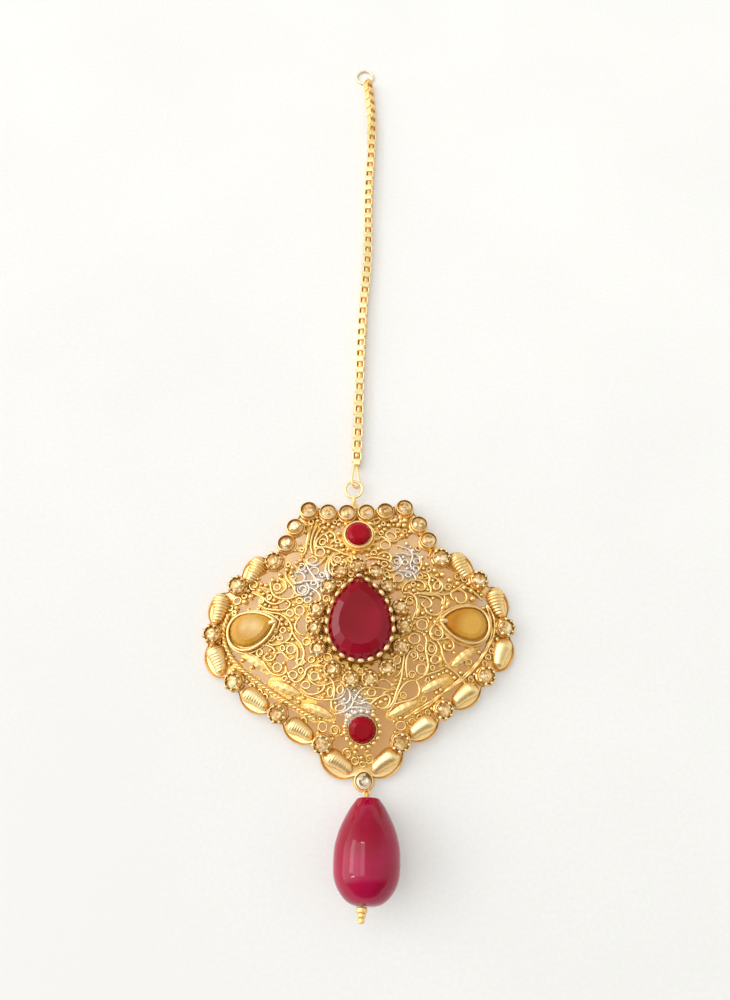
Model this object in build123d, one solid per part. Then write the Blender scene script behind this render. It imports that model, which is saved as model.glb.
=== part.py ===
"""Maang tikka: a domed openwork plate set with stones, on a chain, with a drop below.

Millimetres. The piece lies on its back on the plane Z = 0, with +Z up. +Y runs from
the drop towards the end of the chain. It is drawn about the middle of the plate and
moved at the end, so that the origin is under the middle of its box.
"""

import os
from math import atan2, cos, degrees, hypot, pi, radians, sin, sqrt, tan

from build123d import *

# ---- the dome that the whole plate is bent to ----
DOME_RADIUS = 100.0      # radius of its back
RIM_RADIUS = 25.3        # distance from the middle at which the back reaches the floor
DOME_DROP = sqrt(DOME_RADIUS**2 - RIM_RADIUS**2)
SHEET = 0.9              # thickness of the openwork

# ---- stones and their settings ----
PLAY = 0.06              # space between a stone and the metal round it
CUP_HEIGHT = 2.2         # from the back of the plate to the rim of a cup
CUP_TAPER = 0.75         # foot of a cup over its rim
WALL = 0.22              # wall of a cup
BORDER_STONE = 1.2       # girdle radii of the small stones
HALO_STONE = 0.98
CUP_STONES = {"border": BORDER_STONE, "halo": HALO_STONE}
GIRDLE_DEPTH = 0.3       # of a stone's girdle below the rim of its setting
SEAT_GAP = 0.1           # under a stone
HEADROOM = 1.5           # kept clear above the rim of a setting
SINK = 0.15              # how far above the plate's back the settings start
STONE_CROWN = 0.42       # height over the girdle, and depth of the pointed back,
STONE_BACK = 0.8         # of a small stone, over its radius
BEZEL_WALL = 0.4

# The middles of the cups' rims on the right half; the left half mirrors them.
BORDER_CUPS = (
    # x,      y      from the top round to the bottom tip
    (1.6, 17.7),
    (4.7, 17.9),
    (7.9, 18.5),
    (10.1, 15.5),
    (11.5, 12.7),
    (13.4, 9.8),
    (19.3, 6.15),
    (23.1, -1.4),
    (19.45, -8.85),
    (12.6, -13.8),
    (5.9, -18.35),
)
HALO_TOP = (0.0, 8.6)
HALO_CUPS = (
    # x,     y
    (2.9, 7.7),
    (4.75, 5.3),
    (6.55, 1.75),
    (7.0, -1.2),
    (6.4, -4.35),
    (4.25, -7.5),
    (1.45, -9.05),
)

# Shells of the border, each between two neighbours of it, pushed outwards from their line.
# The turn is where the thin end points; the flange is how far the sheet shows beyond the shell.
SHELLS = (
    # x,     y,    turn, length, fat radius, thin radius, flange
    (16.55, 8.5, -62.0, 4.9, 1.6, 0.9, 0.35),
    (22.05, 2.6, -78.0, 5.0, 1.6, 1.0, 0.4),
    (22.1, -5.35, -112.0, 5.0, 1.5, 1.0, 0.7),
    (15.95, -11.45, -146.0, 4.8, 1.4, 1.0, 0.75),
    (9.2, -16.05, -150.0, 4.6, 1.4, 1.0, 0.75),
    (3.45, -20.85, -146.0, 4.9, 1.4, 1.0, 0.95),
)
LEAVES = (
    # x,     y,     turn
    (16.0, -5.8, 37.0),
    (11.4, -10.0, 25.0),
    (6.4, -13.4, 26.0),
)
LEAF_LENGTH = 4.9
LEAF_RADIUS = 0.85

# Stones with a bezel of their own: the middle of the rim, and where a pear points.
BEZELS = (
    # name,           x,     y,    turn,  kind
    ("centre_stone", 0.2, 0.0, 90.0, "centre"),
    ("right_amber_stone", 16.55, -0.8, 172.0, "amber"),
    ("left_amber_stone", -16.65, -0.85, 16.0, "amber"),
    ("top_stone", 0.25, 13.8, 0.0, "round"),
    ("bottom_stone", 0.2, -16.45, 0.0, "round"),
)
CENTRE_WIDTH = 9.9
CENTRE_LENGTH = 12.8
AMBER_WIDTH = 5.2
AMBER_LENGTH = 7.4
ROUND_RADIUS = 2.0
BEZEL_HEIGHT = {"centre": 2.9, "amber": 1.9, "round": 2.5}   # rim above the plate's back
BEZEL_STONES = {         # heights of the cut over and under the girdle
    "centre": {"crown": 1.35, "back": 1.5},
    "amber": {"crown": 0.8, "back": 0.9},
    "round": {"crown": 0.85, "back": 1.2},
}

# Openings of the web on the right half.
OPENINGS = (
    # x,     y,    length, width, turn
    (9.0, 12.8, 3.6, 2.3, -60.0),
    (11.1, 9.5, 2.9, 2.1, -60.0),
    (14.3, 6.9, 3.8, 2.1, -50.0),
    (6.0, 12.9, 2.6, 1.8, 60.0),
    (3.6, 11.2, 2.6, 1.5, 0.0),
    (4.9, 15.2, 3.0, 1.3, 0.0),
    (6.1, 9.6, 2.3, 1.6, 60.0),
    (8.5, 9.6, 2.6, 1.7, 80.0),
    (8.3, 6.4, 3.0, 1.9, 40.0),
    (11.4, 6.3, 2.8, 1.9, -30.0),
    (9.4, 2.9, 2.6, 1.8, 70.0),
    (12.0, 3.0, 2.6, 2.0, 70.0),
    (16.6, 4.1, 3.8, 1.6, -14.0),
    (9.9, -0.6, 2.2, 1.9, 0.0),
    (12.3, -2.9, 2.6, 1.7, 100.0),
    (9.6, -3.9, 2.4, 1.8, 90.0),
    (8.2, -7.2, 2.8, 1.9, 60.0),
    (11.7, -6.5, 2.8, 1.9, 30.0),
    (5.6, -10.3, 2.8, 1.8, 20.0),
    (2.0, -11.9, 2.4, 1.6, 10.0),
    (19.3, -4.3, 3.4, 1.1, -125.0),
    (14.7, -9.2, 3.4, 1.0, 30.0),
    (8.7, -12.9, 3.0, 0.9, 30.0),
)

# ---- loops, links and chain ----
RING_WIRE = 0.23         # radii of the wires
EYE_WIRE = 0.18
BAIL = dict(x=-0.4, y=22.45, z=1.25, radius=1.42)
NECK = 2.3               # length of the neck that holds the bail
LINK = dict(x=-0.1, y=25.0, z=1.25, length=4.8, width=2.4, roll=48.0)
END_RING = dict(x=3.45, y=113.0, radius=1.67)
CHAIN_RADIUS = 0.8
CHAIN_ROUTE = (
    # x,     y
    (0.15, 27.6),
    (0.85, 41.0),
    (1.8, 56.0),
    (2.95, 69.0),
    (3.5, 82.5),
    (4.42, 96.0),
    (4.45, 104.0),
    (4.0, 110.9),
)

# ---- drop ----
DROP_CUP = dict(x=0.24, y=-23.6, foot=0.15, rim=2.0)
EYE_RADIUS = 0.42        # of the two small eyes that hold the drop
EYE_HEIGHT = 1.25
EYE_REACH = 1.67         # from the middle of the last cup to the middle of its eye
BEAD_TOP = (0.67, -26.1, 3.05)   # where the pin goes into it
BEAD_LEAN = 13.5         # its point lies lower than its belly
BEAD_YAW = 4.3
BEAD_ASIDE = 0.2         # it is drilled off its own axis, and a little askew
BEAD_SKEW = 1.3
BEAD_PROFILE = (
    # along, radius
    (0.0, 1.68),
    (1.1, 2.5),
    (2.5, 3.28),
    (3.9, 3.95),
    (5.2, 4.37),
    (6.5, 4.64),
    (7.9, 4.72),
    (9.2, 4.7),
    (10.4, 4.56),
    (11.7, 4.06),
    (12.9, 3.14),
    (13.55, 2.25),
    (13.85, 1.35),
)
BEAD_HOLE = 0.3
PIN_BEND = 0.3
PIN_STACK = (
    # start, length, radius of each turned bead at the pin's end
    (13.95, 0.7, 0.78),
    (14.65, 0.55, 0.62),
    (15.2, 0.75, 0.48),
)


def dome_point(x, y, height=0.0):
    """The point over (x, y) at this height above the back of the dome."""
    radius = DOME_RADIUS + height
    return Vector(x, y, sqrt(radius**2 - x**2 - y**2) - DOME_DROP)


def on_dome(x, y, height=0.0, turn=0.0):
    """A place level with the dome there, with its X axis turned this far from +X."""
    point = dome_point(x, y, height)
    normal = Vector(x, y, point.Z + DOME_DROP).normalized()
    heading = Vector(cos(radians(turn)), sin(radians(turn)), 0)
    heading = heading - normal * heading.dot(normal)
    return Plane(origin=point, x_dir=heading, z_dir=normal).location


def both_sides(table):
    """Each row, and its mirror image on the left; x is the first column."""
    return [(side * row[0], *row[1:]) for row in table for side in (1, -1)]


def mirrored_turn(x, turn):
    """A direction given on the right half, as it is on the side of x."""
    return turn if x > 0 else 180.0 - turn


# ---- outlines ----

def pear_outline(width, length, grow=0.0):
    """A pear that points along +X: half a circle, and two arcs that meet in a point."""
    a = width / 2
    side = (a**2 + (length - a)**2) / (2 * a)
    tip = sqrt((side + grow)**2 - (side - a)**2)
    back = Vector(-(length / 2 - a), 0)
    reach = a + grow
    up = back + Vector(0, reach)
    down = back - Vector(0, reach)
    point = back + Vector(tip, 0)
    half = atan2(tip, side - a) / 2
    bulge = Vector(sin(half), cos(half)) * (side + grow)
    shoulder = back + Vector(bulge.X, bulge.Y - (side - a))
    lower = Vector(shoulder.X, -shoulder.Y)
    edges = [
        ThreePointArc(up, back - Vector(reach, 0), down),
        ThreePointArc(down, lower, point),
        ThreePointArc(point, shoulder, up),
    ]
    return Face(Wire(edges))


def pear_corners(width, length, scale=1.0, back_count=8, side_count=4):
    """Corners spaced round the same pear, from its point on, shrunk about its middle."""
    a = width / 2
    side = (a**2 + (length - a)**2) / (2 * a)
    reach = length - a
    back = -(length / 2 - a)
    spread = atan2(reach, side - a)
    corners = []
    for i in range(side_count):
        angle = spread * (1 - i / side_count)
        corners.append((back + side * sin(angle), side * cos(angle) - (side - a)))
    for i in range(back_count + 1):
        angle = pi / 2 + pi * i / back_count
        corners.append((back + a * cos(angle), a * sin(angle)))
    for i in range(1, side_count):
        angle = spread * i / side_count
        corners.append((back + side * sin(angle), (side - a) - side * cos(angle)))
    return [(x * scale, y * scale) for x, y in corners]


# ---- stones ----

def solid_of(faces):
    """A closed solid from flat faces, each given by its corners."""
    shell = Shell([Face(Wire.make_polygon([Vector(*c) for c in f], close=True)) for f in faces])
    return Solid(shell)


def round_stone(radius, table=0.56, sides=8):
    """A round cut stone with its girdle at Z = 0: a flat table, triangles to a corner
    at each half step of the girdle, and a pointed back."""
    step = 2 * pi / sides
    high = STONE_CROWN * radius
    top = [(radius * table * cos(i * step), radius * table * sin(i * step), high)
           for i in range(sides)]
    edge = [(radius * cos(j * step / 2), radius * sin(j * step / 2), 0.0)
            for j in range(2 * sides)]
    tip = (0.0, 0.0, -STONE_BACK * radius)
    faces = [tuple(top)]
    for i in range(sides):
        before, here, after = edge[2 * i - 1], edge[2 * i], edge[2 * i + 1]
        faces.append((top[i], before, here))
        faces.append((top[i], here, after))
        faces.append((top[i], after, top[(i + 1) % sides]))
        faces.append((here, tip, after))
        faces.append((here, before, tip))
    return solid_of(faces)


def ringed_stone(rings):
    """A stone through like polygons at given heights, top first, with flat ends."""
    count = len(rings[0])
    faces = [tuple(rings[0]), tuple(rings[-1])]
    for upper, lower in zip(rings, rings[1:]):
        for i in range(count):
            j = (i + 1) % count
            faces.append((upper[i], upper[j], lower[j], lower[i]))
    return solid_of(faces)


def pear_stone(width, length, crown, back, table=0.66, heel=0.62):
    """A pear cut with a wide table and a flat back, girdle at Z = 0."""
    levels = (
        # scale, height
        (table, crown),
        ((1 + table) / 2 + 0.05, crown * 0.62),
        (1.0, 0.0),
        (heel, -back),
    )
    rings = [[(x, y, z) for x, y in pear_corners(width, length, s)] for s, z in levels]
    return ringed_stone(rings)


def button_stone(radius, crown, back, table=0.6, heel=0.6, sides=16):
    """A round stone with a wide table and a flat back, girdle at Z = 0."""
    levels = ((table, crown), (0.86, crown * 0.62), (1.0, 0.0), (heel, -back))
    step = 2 * pi / sides
    rings = [[(radius * s * cos(i * step), radius * s * sin(i * step), z) for i in range(sides)]
             for s, z in levels]
    return ringed_stone(rings)


# ---- the plate ----

def cup_body(stone_radius, height):
    """The outside of an open cup, its rim at Z = 0."""
    rim = stone_radius + WALL
    return Pos(0, 0, -height / 2) * Cone(rim * CUP_TAPER, rim, height)


def cup_pocket(stone_radius):
    """What is cut out of a cup: room for the stone's edge, and a cone for its back."""
    bore = stone_radius + PLAY
    ledge = GIRDLE_DEPTH + SEAT_GAP
    depth = STONE_BACK * stone_radius + SEAT_GAP
    throat = Pos(0, 0, (HEADROOM - ledge) / 2) * Cylinder(bore, HEADROOM + ledge)
    seat = Pos(0, 0, -ledge - depth / 2) * Cone(0.1 * bore, bore, depth)
    return throat + seat


def tall(outline, low, high):
    """A flat outline drawn up into a solid between two heights."""
    return extrude(Pos(0, 0, low) * outline, high - low, dir=(0, 0, 1))


def tapered_capsule(length, fat, thin):
    """A shell's outer form, its fat end towards -X: two balls and the cone that joins them."""
    x0 = -length / 2 + fat
    x1 = length / 2 - thin
    lean = (fat - thin) / (x1 - x0)
    rise = sqrt(1 - lean**2)
    outline = [
        ThreePointArc((-length / 2, 0), (x0 - fat * sqrt(0.5), fat * sqrt(0.5)),
                      (x0 + fat * lean, fat * rise)),
        Line((x0 + fat * lean, fat * rise), (x1 + thin * lean, thin * rise)),
        ThreePointArc((x1 + thin * lean, thin * rise),
                      (x1 + thin * sqrt(0.5), thin * sqrt(0.5)), (length / 2, 0)),
        Line((length / 2, 0), (-length / 2, 0)),
    ]
    return revolve(Face(Wire(outline)), Axis.X)


def leaf():
    """A leaf's ridge: two cones, point to point along X."""
    outline = Polyline((-LEAF_LENGTH / 2, 0), (0, LEAF_RADIUS), (LEAF_LENGTH / 2, 0), close=True)
    return revolve(Face(Wire(outline.edges())), Axis.X)


def sheet_outline():
    """The scalloped outline of the openwork, as a flat face."""
    right = [(x, y) for x, y in reversed(BORDER_CUPS)]
    left = [(-x, y) for x, y in BORDER_CUPS]
    face = Polygon((0.0, -22.6), *right, *left, align=None)
    for x, y in both_sides(BORDER_CUPS):
        face += Pos(x, y) * Circle(BORDER_STONE + WALL)
    for x, y, turn, length, fat, _, flange in both_sides(SHELLS):
        scallop = Ellipse(length / 2 + 0.6 * flange, fat + flange)
        face += Pos(x, y) * Rot(0, 0, mirrored_turn(x, turn)) * scallop
    for x, y, length, width, turn in both_sides(OPENINGS):
        hole = Ellipse(length / 2, width / 2)
        face -= Pos(x, y) * Rot(0, 0, mirrored_turn(x, turn)) * hole
    return face


def bail():
    """The flat loop at the plate's top, and the neck that it stands on."""
    ring = Pos(BAIL["x"], BAIL["y"], BAIL["z"]) * Torus(BAIL["radius"], RING_WIRE)
    top = BAIL["y"] - BAIL["radius"]
    neck = Pos(BAIL["x"], top - NECK / 2, BAIL["z"] + 0.1) * Rot(-90, 0, 0) * Cone(0.95, 0.3, NECK)
    return [ring, neck]


def eye_middle():
    """The middle of the plate's eye, that the pin's own eye goes through."""
    return Vector(BEAD_TOP[0], DROP_CUP["y"] - EYE_REACH, EYE_HEIGHT)


def settings():
    """Every stone that has a setting on the plate: its name, its place, and its kind."""
    found = []
    for number, (x, y) in enumerate(both_sides(BORDER_CUPS), 1):
        found.append((f"border_stone_{number:02d}", on_dome(x, y, CUP_HEIGHT), "border"))
    for number, (x, y) in enumerate([HALO_TOP, *both_sides(HALO_CUPS)], 1):
        found.append((f"halo_stone_{number:02d}", on_dome(x, y, CUP_HEIGHT), "halo"))
    drop = Pos(DROP_CUP["x"], DROP_CUP["y"], DROP_CUP["rim"])
    found.append(("drop_stone", drop, "border"))
    for name, x, y, turn, kind in BEZELS:
        found.append((name, on_dome(x, y, BEZEL_HEIGHT[kind], turn), kind))
    return found


def outline_of(kind, grow):
    """The outline of a stone that has a bezel, grown outwards."""
    if kind == "centre":
        return pear_outline(CENTRE_WIDTH, CENTRE_LENGTH, grow)
    if kind == "amber":
        return pear_outline(AMBER_WIDTH, AMBER_LENGTH, grow)
    return Circle(ROUND_RADIUS + grow)


def setting_body(kind, name):
    """The outside of one setting, its rim at Z = 0."""
    if kind in CUP_STONES:
        sunk = SINK if name != "drop_stone" else CUP_HEIGHT - DROP_CUP["rim"] + DROP_CUP["foot"]
        return cup_body(CUP_STONES[kind], CUP_HEIGHT - sunk)
    return tall(outline_of(kind, PLAY + BEZEL_WALL), SINK - BEZEL_HEIGHT[kind], 0)


def setting_pocket(kind):
    """What is cut out of one setting, its rim at Z = 0."""
    if kind in CUP_STONES:
        return cup_pocket(CUP_STONES[kind])
    back = BEZEL_STONES[kind]["back"]
    return tall(outline_of(kind, PLAY), -GIRDLE_DEPTH - back - SEAT_GAP, HEADROOM)


def stone(kind):
    """One stone, set down to its place under a rim at Z = 0."""
    if kind in CUP_STONES:
        cut = round_stone(CUP_STONES[kind])
    elif kind == "round":
        cut = button_stone(ROUND_RADIUS, **BEZEL_STONES[kind])
    elif kind == "centre":
        cut = pear_stone(CENTRE_WIDTH, CENTRE_LENGTH, **BEZEL_STONES[kind])
    else:
        cut = pear_stone(AMBER_WIDTH, AMBER_LENGTH, **BEZEL_STONES[kind])
    return Pos(0, 0, -GIRDLE_DEPTH) * cut


def plate():
    """All the soldered metal of the plate, as one solid."""
    blank = tall(sheet_outline(), -DOME_RADIUS / 4, DOME_RADIUS / 4)
    ball = Pos(0, 0, -DOME_DROP) * Rot(0, 90, 0)
    metal = blank & (ball * Sphere(DOME_RADIUS + SHEET))
    raised = []
    for x, y, turn, length, fat, thin, _ in both_sides(SHELLS):
        place = on_dome(x, y, SHEET, mirrored_turn(x, turn))
        raised.append(place * tapered_capsule(length, fat, thin))
    for x, y, turn in both_sides(LEAVES):
        raised.append(on_dome(x, y, SHEET, mirrored_turn(x, turn)) * leaf())
    metal = (metal + raised) - (ball * Sphere(DOME_RADIUS))
    places = settings()
    metal = metal + [place * setting_body(kind, name) for name, place, kind in places]
    metal = metal + bail()
    metal = metal - [place * setting_pocket(kind) for _, place, kind in places]
    eye = Pos(*eye_middle()) * Torus(EYE_RADIUS, EYE_WIRE)
    return metal + eye


# ---- chain and links ----

def chain():
    """The fine chain, as one tube along its route, with arcs as wide as its runs allow."""
    points = [Vector(x, y, CHAIN_RADIUS) for x, y in CHAIN_ROUTE]
    radii = []
    for before, here, after in zip(points, points[1:], points[2:]):
        turn = radians((here - before).get_angle(after - here))
        shorter = min((here - before).length, (after - here).length)
        radii.append(0.45 * shorter / tan(turn / 2))
    print("chain radii", [round(r) for r in radii])
    route = FilletPolyline(*points, radius=radii)
    section = Plane(origin=route @ 0, z_dir=route % 0) * Circle(CHAIN_RADIUS)
    tube = sweep(section, path=route)
    print("chain volume", round(tube.volume, 2), "of", round(pi * CHAIN_RADIUS**2 * route.length, 2))
    return tube


def connector_link():
    """The long link between the plate's loop and the chain, rolled over on one side."""
    half = LINK["width"] / 2 - RING_WIRE
    run = LINK["length"] / 2 - LINK["width"] / 2
    path = SlotCenterToCenter(2 * run, 2 * half).wire()
    start = path @ 0
    section = Plane(origin=start, z_dir=path % 0) * Circle(RING_WIRE)
    link = sweep(section, path=path)
    return Pos(LINK["x"], LINK["y"], LINK["z"]) * Rot(0, LINK["roll"], 0) * Rot(0, 0, 90) * link


def end_ring():
    """The ring at the chain's end, lying flat."""
    return Pos(END_RING["x"], END_RING["y"], RING_WIRE) * Torus(END_RING["radius"], RING_WIRE)


# ---- drop ----

def bead_place():
    """The pin's frame: its origin is where the pin goes into the bead, +X runs down it."""
    lean, yaw = radians(BEAD_LEAN), radians(BEAD_YAW)
    along = Vector(-sin(yaw) * cos(lean), -cos(yaw) * cos(lean), sin(lean))
    up = (Vector(0, 0, 1) - along * along.Z).normalized()
    return Plane(origin=BEAD_TOP, x_dir=along, z_dir=up)


def drop_bead():
    """The drop: a turned teardrop, drilled from end to end, a little off its axis."""
    (first, top), (last, bottom) = BEAD_PROFILE[0], BEAD_PROFILE[-1]
    side = Spline([(along, radius) for along, radius in BEAD_PROFILE])
    rest = Polyline((last, bottom), (last, 0), (first, 0), (first, top))
    body = revolve(Face(Wire([side, *rest.edges()])), Axis.X)
    body = Pos(0, BEAD_ASIDE, 0) * Rot(0, 0, BEAD_SKEW) * body
    drill = Pos(last / 2, 0, 0) * Rot(0, 90, 0) * Cylinder(BEAD_HOLE, last + 4)
    return bead_place().location * (body - drill)


def head_pin():
    """The pin through the drop, with turned beads at its end and an eye at its top."""
    place = bead_place()
    eye = eye_middle() - Vector(0, EYE_RADIUS, 0)
    out = (place.origin.Y - eye.Y) / place.x_dir.Y
    corner = place.origin - place.x_dir * out
    corner = Vector(eye.X, corner.Y, corner.Z)
    far = place.origin + place.x_dir * (PIN_STACK[0][0] + 0.1)
    path = FilletPolyline(eye + Vector(0, 0, EYE_RADIUS), corner, far, radius=PIN_BEND)
    wire = sweep(Plane(origin=path @ 0, z_dir=path % 0) * Circle(EYE_WIRE), path=path)
    loop = Pos(*eye) * Rot(0, 90, 0) * Torus(EYE_RADIUS, EYE_WIRE)
    pin = wire + loop
    for start, length, radius in PIN_STACK:
        ball = fillet(Cylinder(radius, length).edges(), length * 0.3)
        pin = pin + place.location * Pos(start + length / 2, 0, 0) * Rot(0, 90, 0) * ball
    return pin


def pieces():
    """Every piece by the name of its node."""
    built = {"plate": plate()}
    for name, place, kind in settings():
        built[name] = place * stone(kind)
    built["chain"] = chain()
    built["connector_link"] = connector_link()
    built["end_ring"] = end_ring()
    built["drop_bead"] = drop_bead()
    built["head_pin"] = head_pin()
    return built


def main():
    built = pieces()
    box = Compound(children=[s.solids()[0] for s in built.values()]).bounding_box()
    shift = Pos(-box.center().X, -box.center().Y, -box.min.Z)
    os.makedirs("parts", exist_ok=True)
    for name, shape in built.items():
        solids = shape.solids()
        if len(solids) != 1 or not solids[0].is_valid:
            print("check", name, len(solids), "solids")
        export_step(shift * solids[0], f"parts/{name}.step")
    print("box", box.size, "shift", shift.position)


if __name__ == "__main__":
    main()
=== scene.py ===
"""Dresses a maang tikka: a domed filigree plate with stones, a box chain and a drop.

Lengths in the tables are millimetres about the middle of the plate, with +Y towards the
chain and +Z up. Heights are taken from the back of the dome that the plate is bent to.
"""

import math

import bmesh
import bpy
import numpy as np
from bpy.props import FloatProperty, FloatVectorProperty, PointerProperty
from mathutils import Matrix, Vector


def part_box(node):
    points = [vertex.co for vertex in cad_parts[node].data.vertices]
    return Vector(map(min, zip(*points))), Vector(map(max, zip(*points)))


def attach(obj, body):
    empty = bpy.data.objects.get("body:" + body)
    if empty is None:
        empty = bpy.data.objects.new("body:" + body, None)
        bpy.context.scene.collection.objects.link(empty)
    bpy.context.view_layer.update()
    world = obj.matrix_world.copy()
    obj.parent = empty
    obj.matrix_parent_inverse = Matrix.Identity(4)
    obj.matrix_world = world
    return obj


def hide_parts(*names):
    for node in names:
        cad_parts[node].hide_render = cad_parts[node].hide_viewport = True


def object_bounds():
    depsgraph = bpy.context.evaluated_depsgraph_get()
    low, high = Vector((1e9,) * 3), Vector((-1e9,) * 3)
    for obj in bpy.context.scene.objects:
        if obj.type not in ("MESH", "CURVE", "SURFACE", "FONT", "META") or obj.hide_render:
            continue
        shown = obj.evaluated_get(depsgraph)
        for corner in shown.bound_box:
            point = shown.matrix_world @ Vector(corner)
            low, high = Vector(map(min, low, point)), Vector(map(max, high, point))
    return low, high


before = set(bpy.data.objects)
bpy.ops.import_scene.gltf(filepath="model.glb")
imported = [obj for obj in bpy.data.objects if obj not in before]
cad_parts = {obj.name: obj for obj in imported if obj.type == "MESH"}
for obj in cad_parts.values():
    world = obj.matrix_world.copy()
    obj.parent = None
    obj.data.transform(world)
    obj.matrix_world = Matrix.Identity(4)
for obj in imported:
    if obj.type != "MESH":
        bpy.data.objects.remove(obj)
CAD_BOX = [list(corner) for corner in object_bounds()]

bl_info = {
    "name": "Maang Tikka",
    "version": (1, 0, 0),
    "blender": (4, 5, 0),
    "location": "3D View > Sidebar > Maang Tikka",
    "description": "Dresses a domed filigree head jewel with its stones, chain and drop",
    "category": "Add Mesh",
}

MM = 0.001
TURN = 2 * math.pi

# ---- the dome, as the plate is built ----
DOME_RADIUS = 100.0
RIM_RADIUS = 25.3
DOME_DROP = math.sqrt(DOME_RADIUS**2 - RIM_RADIUS**2)
STONE_EAST = 0.2         # how far the middle stone sits from the middle of the plate
CUP_RISE = 0.53          # from the middle of a small stone up to the rim of its cup
CUP_HEIGHT = 2.2
BORDER_STONE = 1.2
HALO_STONE = 0.98
WALL = 0.22
CUP_FOOT = 0.15          # how far a cup or bezel starts over the dome's back
CUPS = {
    # the small stones: radius, claws, finish of the cups
    "border": (BORDER_STONE, 8, "border"),
    "halo": (HALO_STONE, 7, "openwork"),
}

BORDER_CUPS = (
    # x,      y      from the top round to the bottom tip
    (1.6, 17.7), (4.7, 17.9), (7.9, 18.5), (10.1, 15.5), (11.5, 12.7), (13.4, 9.8),
    (19.3, 6.15), (23.1, -1.4), (19.45, -8.85), (12.6, -13.8), (5.9, -18.35),
)
PLATE_TIP = (0.0, -22.6)
OPEN_CUPS = 5            # the first rows of the border are plain open cups, the rest clawed

SHELLS = (
    # x,     y,    turn, length, fat, thin, flange, ribs, their depth on the right and left
    (16.55, 8.5, -62.0, 4.9, 1.6, 0.9, 0.35, 10, 0.15, 0.15),
    (22.05, 2.6, -78.0, 5.0, 1.6, 1.0, 0.4, 10, 0.14, 0.15),
    (22.1, -5.35, -112.0, 5.0, 1.5, 1.0, 0.7, 11, 0.02, 0.07),
    (15.95, -11.45, -146.0, 4.8, 1.4, 1.0, 0.75, 12, 0.02, 0.06),
    (9.2, -16.05, -150.0, 4.6, 1.4, 1.0, 0.75, 12, 0.02, 0.06),
    (3.45, -20.85, -146.0, 4.9, 1.4, 1.0, 0.95, 12, 0.02, 0.04),
)
LEAVES = (
    # x,     y,     turn
    (16.0, -5.8, 37.0),
    (11.4, -10.0, 25.0),
    (6.4, -13.4, 26.0),
)
LEAF_LENGTH = 5.3
LEAF_WIDTH = 1.56
SHELL_HEIGHT = 0.9       # of the shells' axes over the dome's back
SHELL_FLOOR = -0.75      # under its axis a shell is cut level
SHELL_BEND = 0.35
LEAF_HEIGHT = 0.75
ROPE_HEIGHT = 1.05
STRAND_HEIGHTS = (1.0, 0.9)

# ---- stones with a bezel of their own ----
PEARS = {
    # node: width, length, turn of its point, rim height
    "centre_stone": (9.9, 12.8, 90.0, 2.9),
    "right_amber_stone": (5.2, 7.4, 172.0, 1.9),
    "left_amber_stone": (5.2, 7.4, 16.0, 1.9),
}
STONE_PLAY = 0.08        # between a large pear and its wall
BEZEL_WALL = 0.3
AMBER_WIRES = (0.22, 0.2)    # over the amber stones' walls, and round their feet
AMBER_TIP = (0.75, 0.42, 0.34)
ROUND_RADIUS = 2.0
ROUND_RIM = 2.5
ROUNDS = {
    # node: thickness of its wall, how far out its step starts and its width, grains round it
    "top_stone": (0.36, 0.4, 0.3, 0),
    "bottom_stone": (0.14, 0.15, 0.7, 18),
}
COLLAR_RADIUS = 2.62     # of the ring of grains
COLLAR_GRAIN = 0.42
BEADS = 24               # round the middle stone
BEAD_THICK = (0.32, 0.36)    # half their width and height
BEAD_SEED = 3            # for their unequal sizes

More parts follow.
